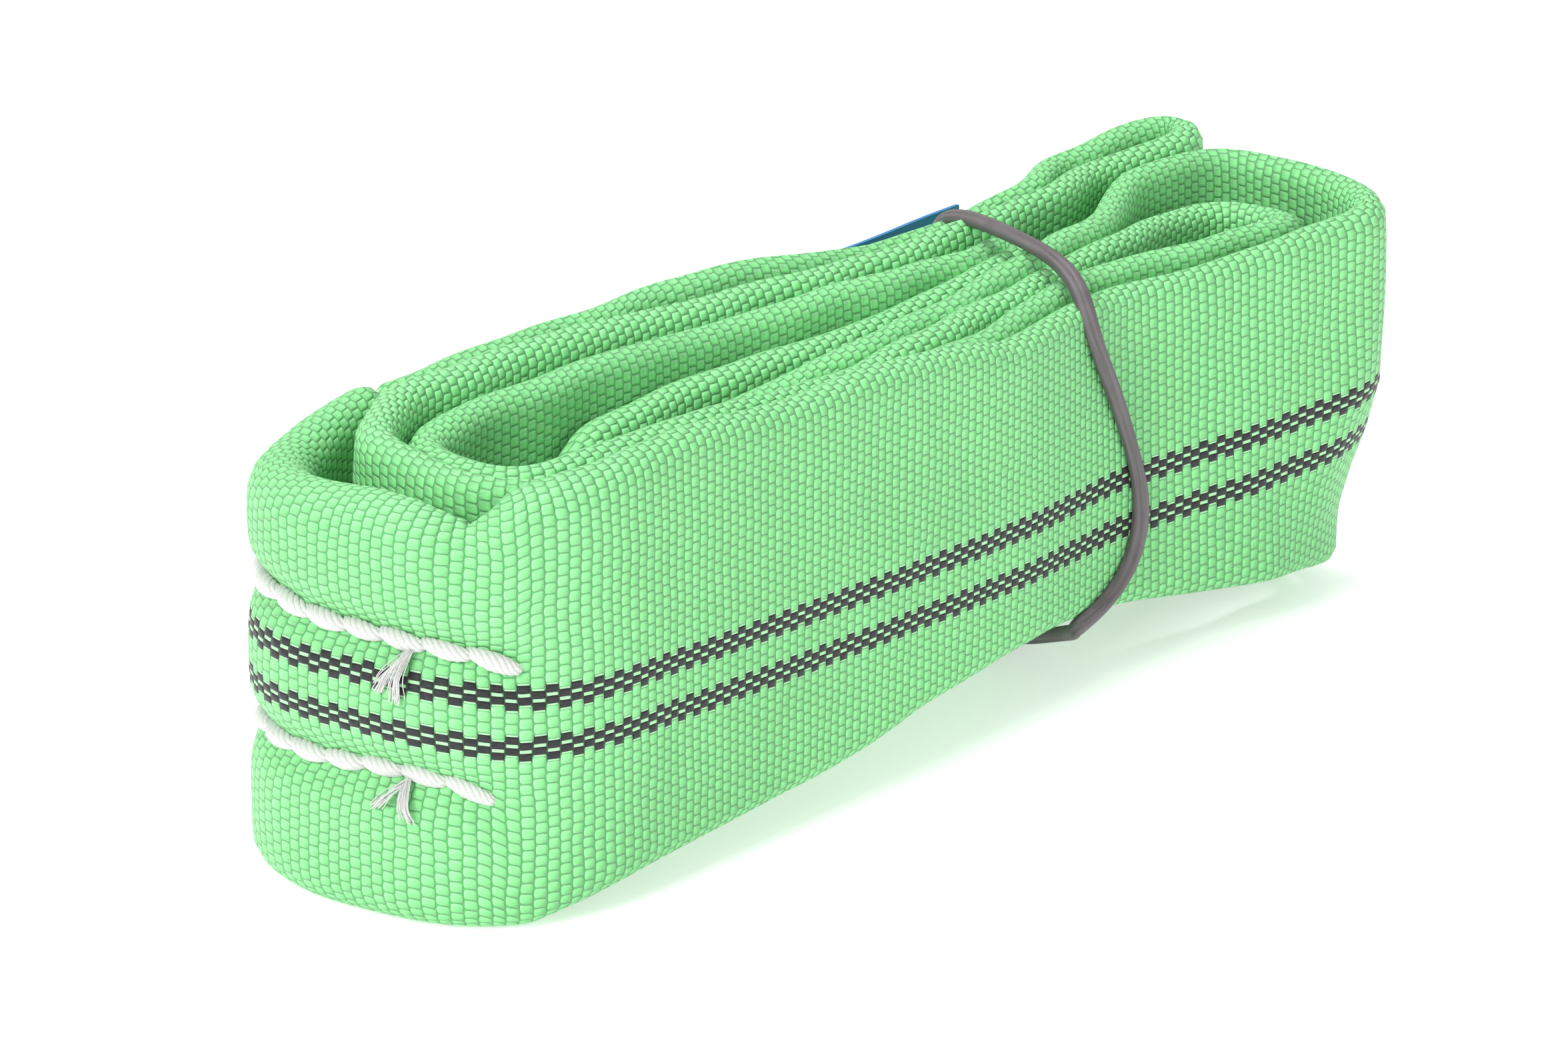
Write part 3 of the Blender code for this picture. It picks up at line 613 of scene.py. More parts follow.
def sleeve_material():
    """Green coarse weave with two charcoal marker stripes and pale weft between their floats; the floats carry
    painted highlights on their rims, painted light and shade across them and painted shade in their gaps.
    """
    settings = bpy.context.scene.sling_sleeve
    material, n, shader, cloth = new_material("sleeve_weave", 0.6, 0.08)
    weave = place_group(n, "woven_floats", Cloth=cloth, Column_Pitch=settings.column_pitch,
                        Row_Pitch=settings.row_pitch)
    streak = place_group(n, "filament_streaks", Cloth=cloth, Along=900.0, Across=9000.0)["Streak"]
    body = tuple(settings.cloth_colour)
    # Paler green for the painted highlight on the floats' rims
    rim = tuple(settings.rim_highlight_colour)
    # Darker green for the painted shade in the gaps between the floats
    deep = tuple(settings.gap_shade_colour)
    # Painted highlight: each float's rim is painted paler than its middle
    colour = n.mix(weave["Rim Highlight"], body, rim)
    # Painted light and shade: each float is painted lighter towards its upper left and darker towards its lower
    # right on the outer face
    painted_side_light = n.ramp(weave["Slope"], -0.55, 0.6, 1.2, 0.78)
    colour = n.mix(1.0, colour, n.vector(painted_side_light, painted_side_light, painted_side_light), "MULTIPLY")
    shade = n.ramp(weave["Chance"], 0.0, 1.0, 0.965, 1.03, smooth=False)
    shade = n.math("MULTIPLY", shade, n.ramp(streak, 0.3, 0.7, 0.9, 1.08, smooth=False))
    broad = n.noise(cloth, 22.0, 2.0)
    shade = n.math("MULTIPLY", shade, n.ramp(broad, 0.3, 0.7, 0.95, 1.05))
    colour = n.mix(1.0, colour, n.vector(shade, shade, shade), "MULTIPLY")
    charcoal = n.mix(n.ramp(streak, 0.3, 0.75), tuple(settings.stripe_colour), (0.03, 0.03, 0.034))
    colour = n.mix(weave["Stripe"], colour, charcoal)
    colour = n.mix(weave["Weft"], colour, tuple(settings.weft_colour))
    # Painted shade: the gaps between the floats are painted darker, deep green on the plain cloth and near
    # black in the stripes and the weft
    gap_shade = n.mix(n.math("MAXIMUM", weave["Stripe"], weave["Weft"]), deep, (0.02, 0.05, 0.022))
    colour = n.mix(n.math("MULTIPLY", weave["Gap"], 0.9), colour, gap_shade)
    n.join(colour, shader.inputs["Base Color"])
    height = n.math("ADD", weave["Height"], n.math("MULTIPLY", streak, 0.12))
    bump(n, shader, height, 0.5 * MM, settings.weave_relief)
    return material


def thread_material(name, colour):
    """White twisted thread with soft filaments."""
    material, n, shader, at = new_material(name, 0.72, 0.3, "Object")
    streak = n.noise(at, 3800.0, 3.0)
    tone = n.ramp(streak, 0.3, 0.7, 0.86, 1.0)
    n.join(n.mix(1.0, (*colour, 1.0), n.vector(tone, tone, tone), "MULTIPLY"), shader.inputs["Base Color"])
    bump(n, shader, streak, 0.05 * MM, 0.4)
    return material


def yarn_material():
    """Raw core yarn: filaments along the hank."""
    material, n, shader, cloth = new_material("core_yarn", 0.8, 0.2)
    streak = place_group(n, "filament_streaks", Cloth=cloth, Along=60.0, Across=2600.0)["Streak"]
    colour = n.mix(n.ramp(streak, 0.3, 0.7), (0.62, 0.6, 0.54), (0.85, 0.84, 0.79))
    n.join(colour, shader.inputs["Base Color"])
    bump(n, shader, streak, 0.4 * MM, 0.8)
    return material


def rubber_material():
    """Warm dark grey rubber, a little chalky, with fine lengthwise drawing lines."""
    settings = bpy.context.scene.sling_band
    material, n, shader, at = new_material("band_rubber", 0.55, 0.0)
    streak = place_group(n, "filament_streaks", Cloth=at, Along=60.0, Across=1800.0)["Streak"]
    chalk = n.noise(at, 260.0, 4.0)
    worn = n.math("ADD", n.math("MULTIPLY", streak, 0.6), n.math("MULTIPLY", chalk, 0.4))
    tone = n.ramp(worn, 0.35, 0.65)
    light = tuple(min(1.0, 1.5 * c) for c in settings.colour)
    n.join(n.mix(tone, tuple(settings.colour), light), shader.inputs["Base Color"])
    n.join(n.ramp(chalk, 0.3, 0.7, 0.45, 0.68), shader.inputs["Roughness"])
    bump(n, shader, streak, 0.15 * MM, 0.7)
    return material


def label_material():
    """Smooth blue coated label with a faint fine weave."""
    settings = bpy.context.scene.sling_label
    material, n, shader, cloth = new_material("label_cloth", 0.42, 0.1)
    streak = place_group(n, "filament_streaks", Cloth=cloth, Along=4000.0, Across=4000.0)["Streak"]
    cross = n.add("ShaderNodeTexWave", bands_direction="X")
    n.join(cloth, cross.inputs["Vector"])
    cross.inputs["Scale"].default_value = 900.0
    down = n.add("ShaderNodeTexWave", bands_direction="Y")
    n.join(cloth, down.inputs["Vector"])
    down.inputs["Scale"].default_value = 900.0
    weave = n.math("MULTIPLY", cross.outputs["Fac"], down.outputs["Fac"])
    tone = n.ramp(streak, 0.3, 0.7, 0.9, 1.06)
    n.join(n.mix(1.0, (*tuple(settings.colour), 1.0), n.vector(tone, tone, tone), "MULTIPLY"),
           shader.inputs["Base Color"])
    bump(n, shader, weave, 0.05 * MM, 0.5)
    return material


# --- Geometry node trees ------------------------------------------------------------------------
def strand_tree(name, plies, sides, fluted=False):
    """Strands of twisted plies along the input's edges, as thick as their girth attribute."""
    tree = bpy.data.node_groups.new(name, "GeometryNodeTree")
    face = tree.interface
    face.new_socket("Geometry", in_out="INPUT", socket_type="NodeSocketGeometry")
    for title, default in (("Twist Pitch", 2.8 * MM), ("Spread", 0.46), ("Ply Girth", 0.62),
                           ("Step", 0.16 * MM)):
        face.new_socket(title, in_out="INPUT", socket_type="NodeSocketFloat").default_value = default
    face.new_socket("Material", in_out="INPUT", socket_type="NodeSocketMaterial")
    face.new_socket("Geometry", in_out="OUTPUT", socket_type="NodeSocketGeometry")
    links = tree.links

    def add(kind, **values):
        node = tree.nodes.new(kind)
        for key, value in values.items():
            setattr(node, key, value)
        return node

    def calc(operation, a, b):
        node = add("ShaderNodeMath", operation=operation)
        for value, socket in zip((a, b), node.inputs):
            if isinstance(value, (int, float)):
                socket.default_value = value
            else:
                links.new(value, socket)
        return node.outputs[0]

    def scaled(vector, amount):
        node = add("ShaderNodeVectorMath", operation="SCALE")
        links.new(vector, node.inputs[0])
        links.new(amount, node.inputs["Scale"])
        return node.outputs[0]

    source = add("NodeGroupInput").outputs
    curve = add("GeometryNodeMeshToCurve")
    links.new(source["Geometry"], curve.inputs["Mesh"])
    resample = add("GeometryNodeResampleCurve", mode="LENGTH")
    links.new(curve.outputs[0], resample.inputs["Curve"])
    links.new(source["Step"], resample.inputs["Length"])
    girth = add("GeometryNodeInputNamedAttribute", data_type="FLOAT")
    girth.inputs["Name"].default_value = "girth"
    along = add("GeometryNodeSplineParameter").outputs["Length"]
    turn = calc("MULTIPLY", calc("DIVIDE", along, source["Twist Pitch"]), 2 * math.pi)
    normal = add("GeometryNodeInputNormal").outputs[0]
    tangent = add("GeometryNodeInputTangent").outputs[0]
    binormal = add("ShaderNodeVectorMath", operation="CROSS_PRODUCT")
    links.new(tangent, binormal.inputs[0])
    links.new(normal, binormal.inputs[1])
    ring = add("GeometryNodeCurvePrimitiveCircle")
    ring.inputs["Resolution"].default_value = sides
    ring.inputs["Radius"].default_value = 1.0
    profile = ring.outputs[0]
    if fluted:
        spot = add("GeometryNodeSplineParameter").outputs["Factor"]
        wave = calc("COSINE", calc("MULTIPLY", spot, 4 * math.pi), 0)
        deep = calc("POWER", calc("MAXIMUM", wave, 0.0), 6.0)
        keep = calc("SUBTRACT", 1.0, calc("MULTIPLY", deep, 0.22))
        shape = add("GeometryNodeSetPosition")
        links.new(profile, shape.inputs["Geometry"])
        links.new(scaled(add("GeometryNodeInputPosition").outputs[0], keep), shape.inputs["Position"])
        profile = shape.outputs[0]
    joined = add("GeometryNodeJoinGeometry")
    reach = calc("MULTIPLY", girth.outputs["Attribute"], source["Spread"])
    thick = calc("MULTIPLY", girth.outputs["Attribute"], source["Ply Girth"])
    for ply in range(plies):
        angle = calc("ADD", turn, 2 * math.pi * ply / plies)
        total = add("ShaderNodeVectorMath", operation="ADD")
        links.new(scaled(normal, calc("MULTIPLY", reach, calc("COSINE", angle, 0))), total.inputs[0])
        beside = calc("MULTIPLY", reach, calc("SINE", angle, 0))
        links.new(scaled(binormal.outputs[0], beside), total.inputs[1])
        shift = add("GeometryNodeSetPosition")
        links.new(resample.outputs[0], shift.inputs["Geometry"])
        if plies > 1:
            links.new(total.outputs[0], shift.inputs["Offset"])
        tube = add("GeometryNodeCurveToMesh")
        links.new(shift.outputs[0], tube.inputs["Curve"])
        links.new(profile, tube.inputs["Profile Curve"])
        links.new(thick, tube.inputs["Scale"])
        tube.inputs["Fill Caps"].default_value = True
        links.new(tube.outputs[0], joined.inputs[0])
    smooth = add("GeometryNodeSetShadeSmooth")
    links.new(joined.outputs[0], smooth.inputs[0])
    real = add("GeometryNodeRealizeInstances")
    links.new(smooth.outputs[0], real.inputs[0])
    finish = add("GeometryNodeSetMaterial")
    links.new(real.outputs[0], finish.inputs["Geometry"])
    links.new(source["Material"], finish.inputs["Material"])
    out = add("NodeGroupOutput")
    links.new(finish.outputs[0], out.inputs[0])
    return tree


def strands(name, tree_name, paths, material, **inputs):
    """Plain mesh of strands along paths of (place, girth) rows, made by a geometry node tree."""
    mesh = bpy.data.meshes.new(name + "_paths")
    verts, edges, girths = [], [], []
    for path, closed in paths:
        start = len(verts)
        verts += [tuple(row[0]) for row in path]
        girths += [float(row[1]) for row in path]
        edges += [(start + i, start + i + 1) for i in range(len(path) - 1)]
        if closed:
            edges.append((len(verts) - 1, start))
    mesh.from_pydata(verts, edges, [])
    mesh.attributes.new("girth", "FLOAT", "POINT").data.foreach_set("value", girths)
    guide = bpy.data.objects.new(name + "_guide", mesh)
    bpy.context.scene.collection.objects.link(guide)
    tree = bpy.data.node_groups[tree_name]
    modifier = guide.modifiers.new("strands", "NODES")
    modifier.node_group = tree
    sockets = {s.name: s.identifier for s in tree.interface.items_tree if s.in_out == "INPUT"}
    for key, value in inputs.items():
        modifier[sockets[key.replace("_", " ")]] = value
    modifier[sockets["Material"]] = material
    bpy.context.view_layer.update()
    graph = bpy.context.evaluated_depsgraph_get()
    made = bpy.data.meshes.new_from_object(guide.evaluated_get(graph))
    guide.modifiers.clear()
    bpy.data.objects.remove(guide, do_unlink=True)
    made.name = name
    if not made.materials:
        made.materials.append(material)
    made.shade_smooth()
    piece = bpy.data.objects.new(name, made)
    bpy.context.scene.collection.objects.link(piece)
    return piece


# --- Pieces -------------------------------------------------------------------------------------
def woven_sleeve():
    """The sleeve's outer surface, from its lapped outer end once round into that end."""
    settings = bpy.context.scene.sling_sleeve
    n = int((ROUTE_LENGTH + 5 * MM) / settings.ring_step)
    distances = np.linspace(0, ROUTE_LENGTH + 5 * MM, n)
    rings, above = outline(distances, settings.ring_corners)
    low_rings, _ = outline(distances, settings.ring_corners, inset=1.0 * MM)
    into = fade(distances, ROUTE_LENGTH - 2.5 * MM, ROUTE_LENGTH - 0.2 * MM)[:, None, None]
    tuck = (1 - fade(distances, 0.0, 0.9 * MM))[:, None, None]
    rings = rings + (low_rings - rings) * np.maximum(into, 0.75 * tuck)
    sleeve = ring_mesh("sleeve_cloth", rings, above, distances, closed=False)
    sleeve.data.materials.append(sleeve_material())
    return sleeve


def core_hank():
    """The load-carrying yarn inside the sleeve."""
    distances = np.arange(0, ROUTE_LENGTH - 2 * MM, 4 * MM)
    rings, above = outline(distances, 28, inset=1.3 * MM)
    hank = ring_mesh("core_hank", rings, above, distances, closed=True)
    hank.data.materials.append(yarn_material())
    return hank


def row_point(distance, row, lift, sink=0.0, outside=True):
    """Place on the stitch row's outer or inner side, lifted off the cloth."""
    point, side, half, low, top = leg_limits(np.array([distance]))
    reach = row_reach(np.array([distance]), row)[0]
    out = half[0] * 1.05 - max(half[0] - 1.5 * MM, 0) * reach * (1.0 if outside else 0.8) + lift
    out = out if outside else -out
    height = row_height(np.array([distance]), row)[0] + sink
    return Vector((point[0, 0] + side[0, 0] * out + BUNDLE_SHIFT[0],
                   point[0, 1] + side[0, 1] * out + BUNDLE_SHIFT[1], height))


def needle_paths(row):
    """One short plump path for each stitch; it starts on top of the last and dives at its end."""
    settings = bpy.context.scene.sling_stitches
    start, end = row_limits(row)
    count = settings.count
    chance = np.random.default_rng(7 + row)
    paths = []
    edges = [start + (end - start) * n / count for n in range(count + 1)]
    for n in range(count):
        a, b = edges[n] - 0.3 * MM, edges[n + 1] + 0.35 * MM
        girth = settings.girth * (1 + 0.06 * chance.standard_normal())
        tilt = 0.32 * MM + 0.08 * MM * chance.standard_normal()
        path = []
        for k in range(17):
            t = k / 16
            plump = max(math.sin(math.pi * (0.05 + 0.9 * t)), 0.0)**0.75
            lift = girth * (0.3 + 0.8 * plump) - 1.0 * MM * max(0, t - 0.88) / 0.12 * 1.4
            lift -= 0.9 * MM * max(0, 0.08 - t) / 0.08
            path.append((row_point(a + (b - a) * t, row, lift, tilt * (1 - 2 * t)),
                         girth * (0.24 + 0.8 * plump)))
        paths.append((path, False))
    return paths


def tail_paths(row):
    """Frayed ends of the needle thread: two flat tufts of fine filaments that hang from the row."""
    start, end = row_limits(row)
    chance = np.random.default_rng(31 + row)
    root_at = start + (end - start) * (0.80 if row else 0.84)
    tufts = ((3.2, -6.0, 0.9), (1.2, -7.2, 0.7)) if row else ((3.6, -4.2, 0.6), (-0.6, -5.0, 0.7))
    paths = []
    for along, down, spread in tufts:
        for _ in range(34):
            reach = chance.uniform(0.75, 1.05)
            side, lift = chance.normal(0, 0.32), chance.uniform(0.5, 1.4)
            path = []
            for k in range(9):
                t = k / 8
                at = root_at - (along * t * reach + side * (0.5 + spread * t * 1.6)) * MM
                sink = (down * t**1.15 * reach + 0.25 * math.sin(5 * t + side * 9)) * MM - 0.6 * MM
                bulge = (1.5 + 1.1 * math.sin(math.pi * min(1, t * 1.1)) + lift * 0.35) * MM
                base = row_point(at, row, 0.0)
                out = row_point(at, row, bulge)
                drop = Vector((0, 0, sink))
                swell = fade(np.array(abs(sink)), 0.0, 4.5 * MM) * 2.4 * MM
                outward = (out - base).normalized()
                path.append((out + drop + outward * float(swell), 0.075 * MM))
            paths.append((path, False))
    return paths


def lock_paths(row):
    """Thin thread on the joint's inner side, one shallow arc for each needle stitch."""
    settings = bpy.context.scene.sling_stitches
    start, end = row_limits(row)
    steps = 6 * settings.count
    path = []
    for k in range(steps + 1):
        at = start + 4 * MM + (end - start - 8 * MM) * k / steps
        wave = abs(math.sin(math.pi * k / 6))
        path.append((row_point(at, row, (0.5 + 0.25 * wave) * MM, 0.0, outside=False), 0.45 * MM))
    return [(path, False)]


def band_path():
    """Closed path of the rubber band round the waist, snug over the legs it crosses."""
    waist = BAND_PLACE * BUNDLE_LENGTH
    bow = 0.065 * BUNDLE_LENGTH
    off = 1.15 * MM
    low, high, under = 11.6 * MM, SLEEVE_WIDTH * read(TOP, BAND_PLACE) + off + 0.1 * MM, 1.05 * MM
    front_x, back_x = waist - 0.6 * bow, waist + 0.3 * bow

    def face(x):
        return float(front_leg_y(np.array([x]))[0]) - leg_thickness(x / BUNDLE_LENGTH) / 2 - 0.2 * MM

    front, back = face(front_x) - off, float(back_face(np.array([back_x]))[0]) + 1.5 * MM
    knots = []
    for x, z, hug in BAND_FRONT:
        knots.append((x * MM - BUNDLE_SHIFT[0], face(x * MM) - off + hug * MM, z * MM))
    for n in range(1, 9):
        t = n / 9
        sag = 0.9 * MM * math.sin(math.pi * t) - 1.5 * MM * math.exp(-((t / 0.17)**2))
        knots.append((front_x + (back_x - front_x) * t, front + (back - front) * t, high + 0.2 * MM + sag))
    for n in range(5):
        t = n / 4
        knots.append((back_x + 0.4 * MM * math.sin(math.pi * t), back,
                      high - 1.6 * MM + (under + 2.4 * MM - high) * t))
    slope_end = float(front_leg_y(np.array([waist]))[0]) + 17 * MM
    for n in range(1, 6):
        t = n / 6
        knots.append((back_x + (waist - back_x) * t, back - 1.2 * MM + (slope_end - back) * t, under))
    knots.append((waist, slope_end, under))
    for n in range(1, 6):
        t = n / 6
        knots.append((waist + (front_x - waist) * t, slope_end + (front - slope_end) * t,
                      under + (low - 1.6 * MM - under) * t - 0.3 * MM))
    knots = np.array(knots) + (*BUNDLE_SHIFT, 0)
    ring = np.vstack((knots, knots[:1]))
    lengths = np.concatenate(([0], np.cumsum(np.linalg.norm(np.diff(ring, axis=0), axis=1))))
    at = np.linspace(0, lengths[-1], 421)[:-1]
    path = np.stack([np.interp(at, lengths, ring[:, k]) for k in range(3)], 1)
    path = smooth_ring(path, 9)
    path[:, 2] = np.maximum(path[:, 2], under)
    return path, lengths[-1]


def rubber_band():
    """The band: a nearly square fluted strand that turns a little on its way round."""
    settings = bpy.context.scene.sling_band
    path, length = band_path()
    thick = settings.strand / 2
    rows = [(spot, thick * (1 + 0.07 * math.sin(n / 17) + 0.05 * math.sin(n / 7 + 1)))
            for n, spot in enumerate(path)]
    band = strands("rubber_band_strand", "fluted_strand", [(rows, True)], rubber_material(),
                   Step=0.7 * MM, Ply_Girth=1.0)
    tube_uv(band, path, length)
    return band


def tube_uv(piece, path, length):
    """Metric UV map along and round a tube, from its nearest path point."""
    mesh = piece.data
    co = np.empty(len(mesh.vertices) * 3)
    mesh.vertices.foreach_get("co", co)
    co = co.reshape(-1, 3)
    gaps = ((co[:, None, :] - path[None, :, :])**2).sum(2)
    near = gaps.argmin(1)
    ahead = np.roll(path, -1, 0) - np.roll(path, 1, 0)
    ahead /= np.linalg.norm(ahead, axis=1, keepdims=True)
    middle = path.mean(0)
    out = path - middle
    out -= ahead * (out * ahead).sum(1, keepdims=True)
    out /= np.linalg.norm(out, axis=1, keepdims=True)
    other = np.cross(ahead, out)
    away = co - path[near]
    angle = np.arctan2((away * other[near]).sum(1), (away * out[near]).sum(1))
    u = near / len(path) * length
    v = angle * MM
    loops = np.empty(len(mesh.loops), dtype=int)
    mesh.loops.foreach_get("vertex_index", loops)
    layer = mesh.uv_layers.get("cloth") or mesh.uv_layers.new(name="cloth")
    layer.data.foreach_set("uv", np.stack((u[loops], v[loops]), 1).astype(np.float32).ravel())


def label_frame():
    """Corner, fold and directions of the label on the back leg."""
    x = HEM_PLACE * BUNDLE_LENGTH
    y0, y1 = back_face(np.array([x, x + HEM_WIDTH]))
    start = np.array((x, y0 + 0.55 * MM))
    along = np.array((HEM_WIDTH, y1 - y0))
    along /= np.linalg.norm(along)
    return start + BUNDLE_SHIFT, along


def label_sheet():
    """The label in one piece: sewn hem, fold and the free part, which stands off the waist."""
    settings = bpy.context.scene.sling_label
    start, along = label_frame()
    hem, free, tall = HEM_WIDTH, settings.length, settings.height
    nx, nz = 68, 40
    lean = math.atan2(along[1], along[0])
    rows, spots, at = [], [], np.array(start, dtype=float)
    for i in range(nx + 1):
        s = (hem + free) * i / nx
        angle = lean + math.radians(8) * float(fade(np.array(s), hem - 2 * MM, hem + 3 * MM))
        spots.append((at.copy(), angle))
        at = at + np.array((math.cos(angle), math.sin(angle))) * (hem + free) / nx
    verts, uvs, faces = [], [], []
    for side in (0, 1):
        for i, (spot, angle) in enumerate(spots):
            s = (hem + free) * i / nx
            normal = np.array((-math.sin(angle), math.cos(angle)))
            for j in range(nz + 1):
                t = j / nz
                curl = 0.5 * MM * float(fade(np.array(s), hem + 12 * MM, hem + free)) * (t - 0.4)**2 * 4
                loose = float(fade(np.array(s), hem, hem + 20 * MM))
                ripple = 0.12 * MM * math.sin(s * 260) * math.sin(t * 5) * loose
                out = side * settings.thickness + curl + ripple
                point = spot + normal * out
                verts.append((point[0], point[1], LABEL_LOW + tall * t))
                uvs.append((s, tall * t))
    size = (nx + 1) * (nz + 1)

    def corner(side, i, j):
        return side * size + i * (nz + 1) + j

    for i in range(nx):
        for j in range(nz):
            quad = (corner(0, i, j), corner(0, i + 1, j), corner(0, i + 1, j + 1), corner(0, i, j + 1))
            faces.append(quad)
            faces.append(tuple(q + size for q in quad)[::-1])
    rim = [(i, 0) for i in range(nx)] + [(nx, j) for j in range(nz)]
    rim += [(i, nz) for i in range(nx, 0, -1)] + [(0, j) for j in range(nz, 0, -1)]
    for a, b in zip(rim, rim[1:] + rim[:1]):
        faces.append((corner(0, *b), corner(0, *a), corner(1, *a), corner(1, *b)))
    mesh = bpy.data.meshes.new("label_sheet")
    mesh.from_pydata(verts, [], faces)
    layer = mesh.uv_layers.new(name="cloth")
    layer.data.foreach_set("uv", np.array([uvs[l.vertex_index] for l in mesh.loops], np.float32).ravel())
    mesh.shade_smooth()
    mesh.set_sharp_from_angle(angle=math.radians(50))
    label = bpy.data.objects.new("label_sheet", mesh)
    bpy.context.scene.collection.objects.link(label)
    mesh.materials.append(label_material())
    fold = start + along * (hem + 0.3 * MM)
    return label, fold, along


def hem_stitches():
    """Short machine stitches of the box seam on the label's hem."""
    start, along = label_frame()
    normal = np.array((-along[1], along[0]))
    margin, length, gap = 1.5 * MM, 2.2 * MM, 0.5 * MM
    wide, tall = HEM_WIDTH - margin, 48.5 * MM
    corners = [(margin, margin), (wide, margin), (wide, tall), (margin, tall)]
    paths = []
    for a, b in zip(corners, corners[1:] + corners[:1]):
        run = math.hypot(b[0] - a[0], b[1] - a[1])
        count = max(1, round(run / (length + gap)))
        for n in range(count):
            path = []
            for k in range(7):
                t = k / 6
                share = (n + 0.1 + 0.8 * t) / count
                x, z = a[0] + (b[0] - a[0]) * share, a[1] + (b[1] - a[1]) * share
                out = 0.7 * MM + 0.3 * MM * math.sin(math.pi * t) - 0.06 * MM
                spot = start + along * x + normal * out
                path.append(((spot[0], spot[1], LABEL_LOW + z), 0.27 * MM))
            paths.append((path, False))
    return paths


# --- Settings -----------------------------------------------------------------------------------
class SlingSleeveSettings(bpy.types.PropertyGroup):
    """Sizes and colours of the woven sleeve."""
    ring_step: FloatProperty(name="Ring step", description="Distance between rings of the sleeve's mesh",
                             default=1.5 * MM, min=0.8 * MM, unit="LENGTH")
    ring_corners: IntProperty(name="Ring corners", description="Corners of each ring", default=64, min=24)
    column_pitch: FloatProperty(name="Column pitch", description="Distance between columns of floats",
                                default=1.53 * MM, unit="LENGTH", precision=5)
    row_pitch: FloatProperty(name="Row pitch", description="Distance between warp rows",
                             default=0.78 * MM, unit="LENGTH", precision=5)
    wrinkle: FloatProperty(name="Wrinkles", description="Height of the cloth's soft wrinkles",
                           default=0.3 * MM, unit="LENGTH", precision=5)
    weave_relief: FloatProperty(name="Weave relief", description="Strength of the floats' relief",
                                default=0.9, min=0, max=2)
    crease_width: FloatProperty(name="Crease width", description="Reach of a stitch row's crease",
                                default=2.7 * MM, unit="LENGTH", precision=5)
    cloth_colour: FloatVectorProperty(name="Cloth", description="Colour of the floats", subtype="COLOR",
                                      size=3, default=(0.2, 0.61, 0.225), min=0, max=1)
    # Painted highlight on the floats' rims
    rim_highlight_colour: FloatVectorProperty(name="Rim highlights", description="Painted highlight on the floats' rims", subtype="COLOR",
                                    size=3, default=(0.29, 0.685, 0.32), min=0, max=1)
    # Painted shade in the gaps between the floats
    gap_shade_colour: FloatVectorProperty(name="Gap shade", description="Painted shade between the floats", subtype="COLOR",
                                    size=3, default=(0.045, 0.39, 0.07), min=0, max=1)
    stripe_colour: FloatVectorProperty(name="Stripes", description="Colour of the marker stripes",
                                       subtype="COLOR", size=3, default=(0.008, 0.008, 0.009), min=0, max=1)
    weft_colour: FloatVectorProperty(name="Weft", description="Colour of the weft between the stripes' floats",
                                     subtype="COLOR", size=3, default=(0.36, 0.72, 0.38), min=0, max=1)


class SlingStitchSettings(bpy.types.PropertyGroup):
    """Sizes of the hand stitching."""
    count: IntProperty(name="Stitches", description="Stitches in each row", default=11, min=2)
    length: FloatProperty(name="Stitch length", description="Length of one stitch", default=5.6 * MM,
                          unit="LENGTH", precision=5)
    girth: FloatProperty(name="Thread radius", description="Radius of a plump stitch", default=1.2 * MM,
                         unit="LENGTH", precision=5)
    colour: FloatVectorProperty(name="Thread", description="Colour of the thread", subtype="COLOR",
                                size=3, default=(0.6, 0.6, 0.585), min=0, max=1)


class SlingBandSettings(bpy.types.PropertyGroup):
    """Size and colour of the rubber band."""
    strand: FloatProperty(name="Strand", description="Thickness of the band's strand", default=2.3 * MM,
                          unit="LENGTH", precision=5)
    colour: FloatVectorProperty(name="Rubber", description="Colour of the rubber", subtype="COLOR",
                                size=3, default=(0.095, 0.082, 0.088), min=0, max=1)


class SlingLabelSettings(bpy.types.PropertyGroup):
    """Sizes and colour of the label."""
    length: FloatProperty(name="Free length", description="Length of the label past its hem",
                          default=65 * MM, unit="LENGTH")
    height: FloatProperty(name="Height", description="Height of the label", default=50 * MM, unit="LENGTH")
    thickness: FloatProperty(name="Thickness", description="Thickness of the label", default=0.6 * MM,
                             unit="LENGTH", precision=5)
    colour: FloatVectorProperty(name="Label", description="Colour of the label", subtype="COLOR",
                                size=3, default=(0.02, 0.19, 0.42), min=0, max=1)


class SlingStageSettings(bpy.types.PropertyGroup):
    """Light and floor."""
    light: FloatProperty(name="Light", description="Strength of the light all round", default=0.5, min=0)
    glow: FloatProperty(name="Floor glow", description="Light that the floor gives itself", default=0.46, min=0)
    floor_colour: FloatVectorProperty(name="Floor", description="Colour of the floor", subtype="COLOR",
                                      size=3, default=(0.9, 0.9, 0.9), min=0, max=1)


# --- Operators ----------------------------------------------------------------------------------
class SLING_OT_groups(bpy.types.Operator):
    """Builds the node groups that the pieces share"""
    bl_idname = "sling.groups"
    bl_label = "Build node groups"

    def execute(self, context):
        floats_group()
        streaks_group()
        strand_tree("twisted_strand", 3, 10)
        strand_tree("rope_strand", 6, 10)
        strand_tree("fine_strand", 1, 4)
        strand_tree("fluted_strand", 1, 28, fluted=True)
        return {"FINISHED"}


class SLING_OT_sleeve(bpy.types.Operator):
    """Builds the woven sleeve and the core inside it"""
    bl_idname = "sling.sleeve"
    bl_label = "Build sleeve and core"

    def execute(self, context):
        sleeve = woven_sleeve()
        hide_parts("woven_sleeve")
        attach(sleeve, "bundle")
        hank = core_hank()
        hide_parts("core_yarn_hank")
        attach(hank, "bundle")
        return {"FINISHED"}


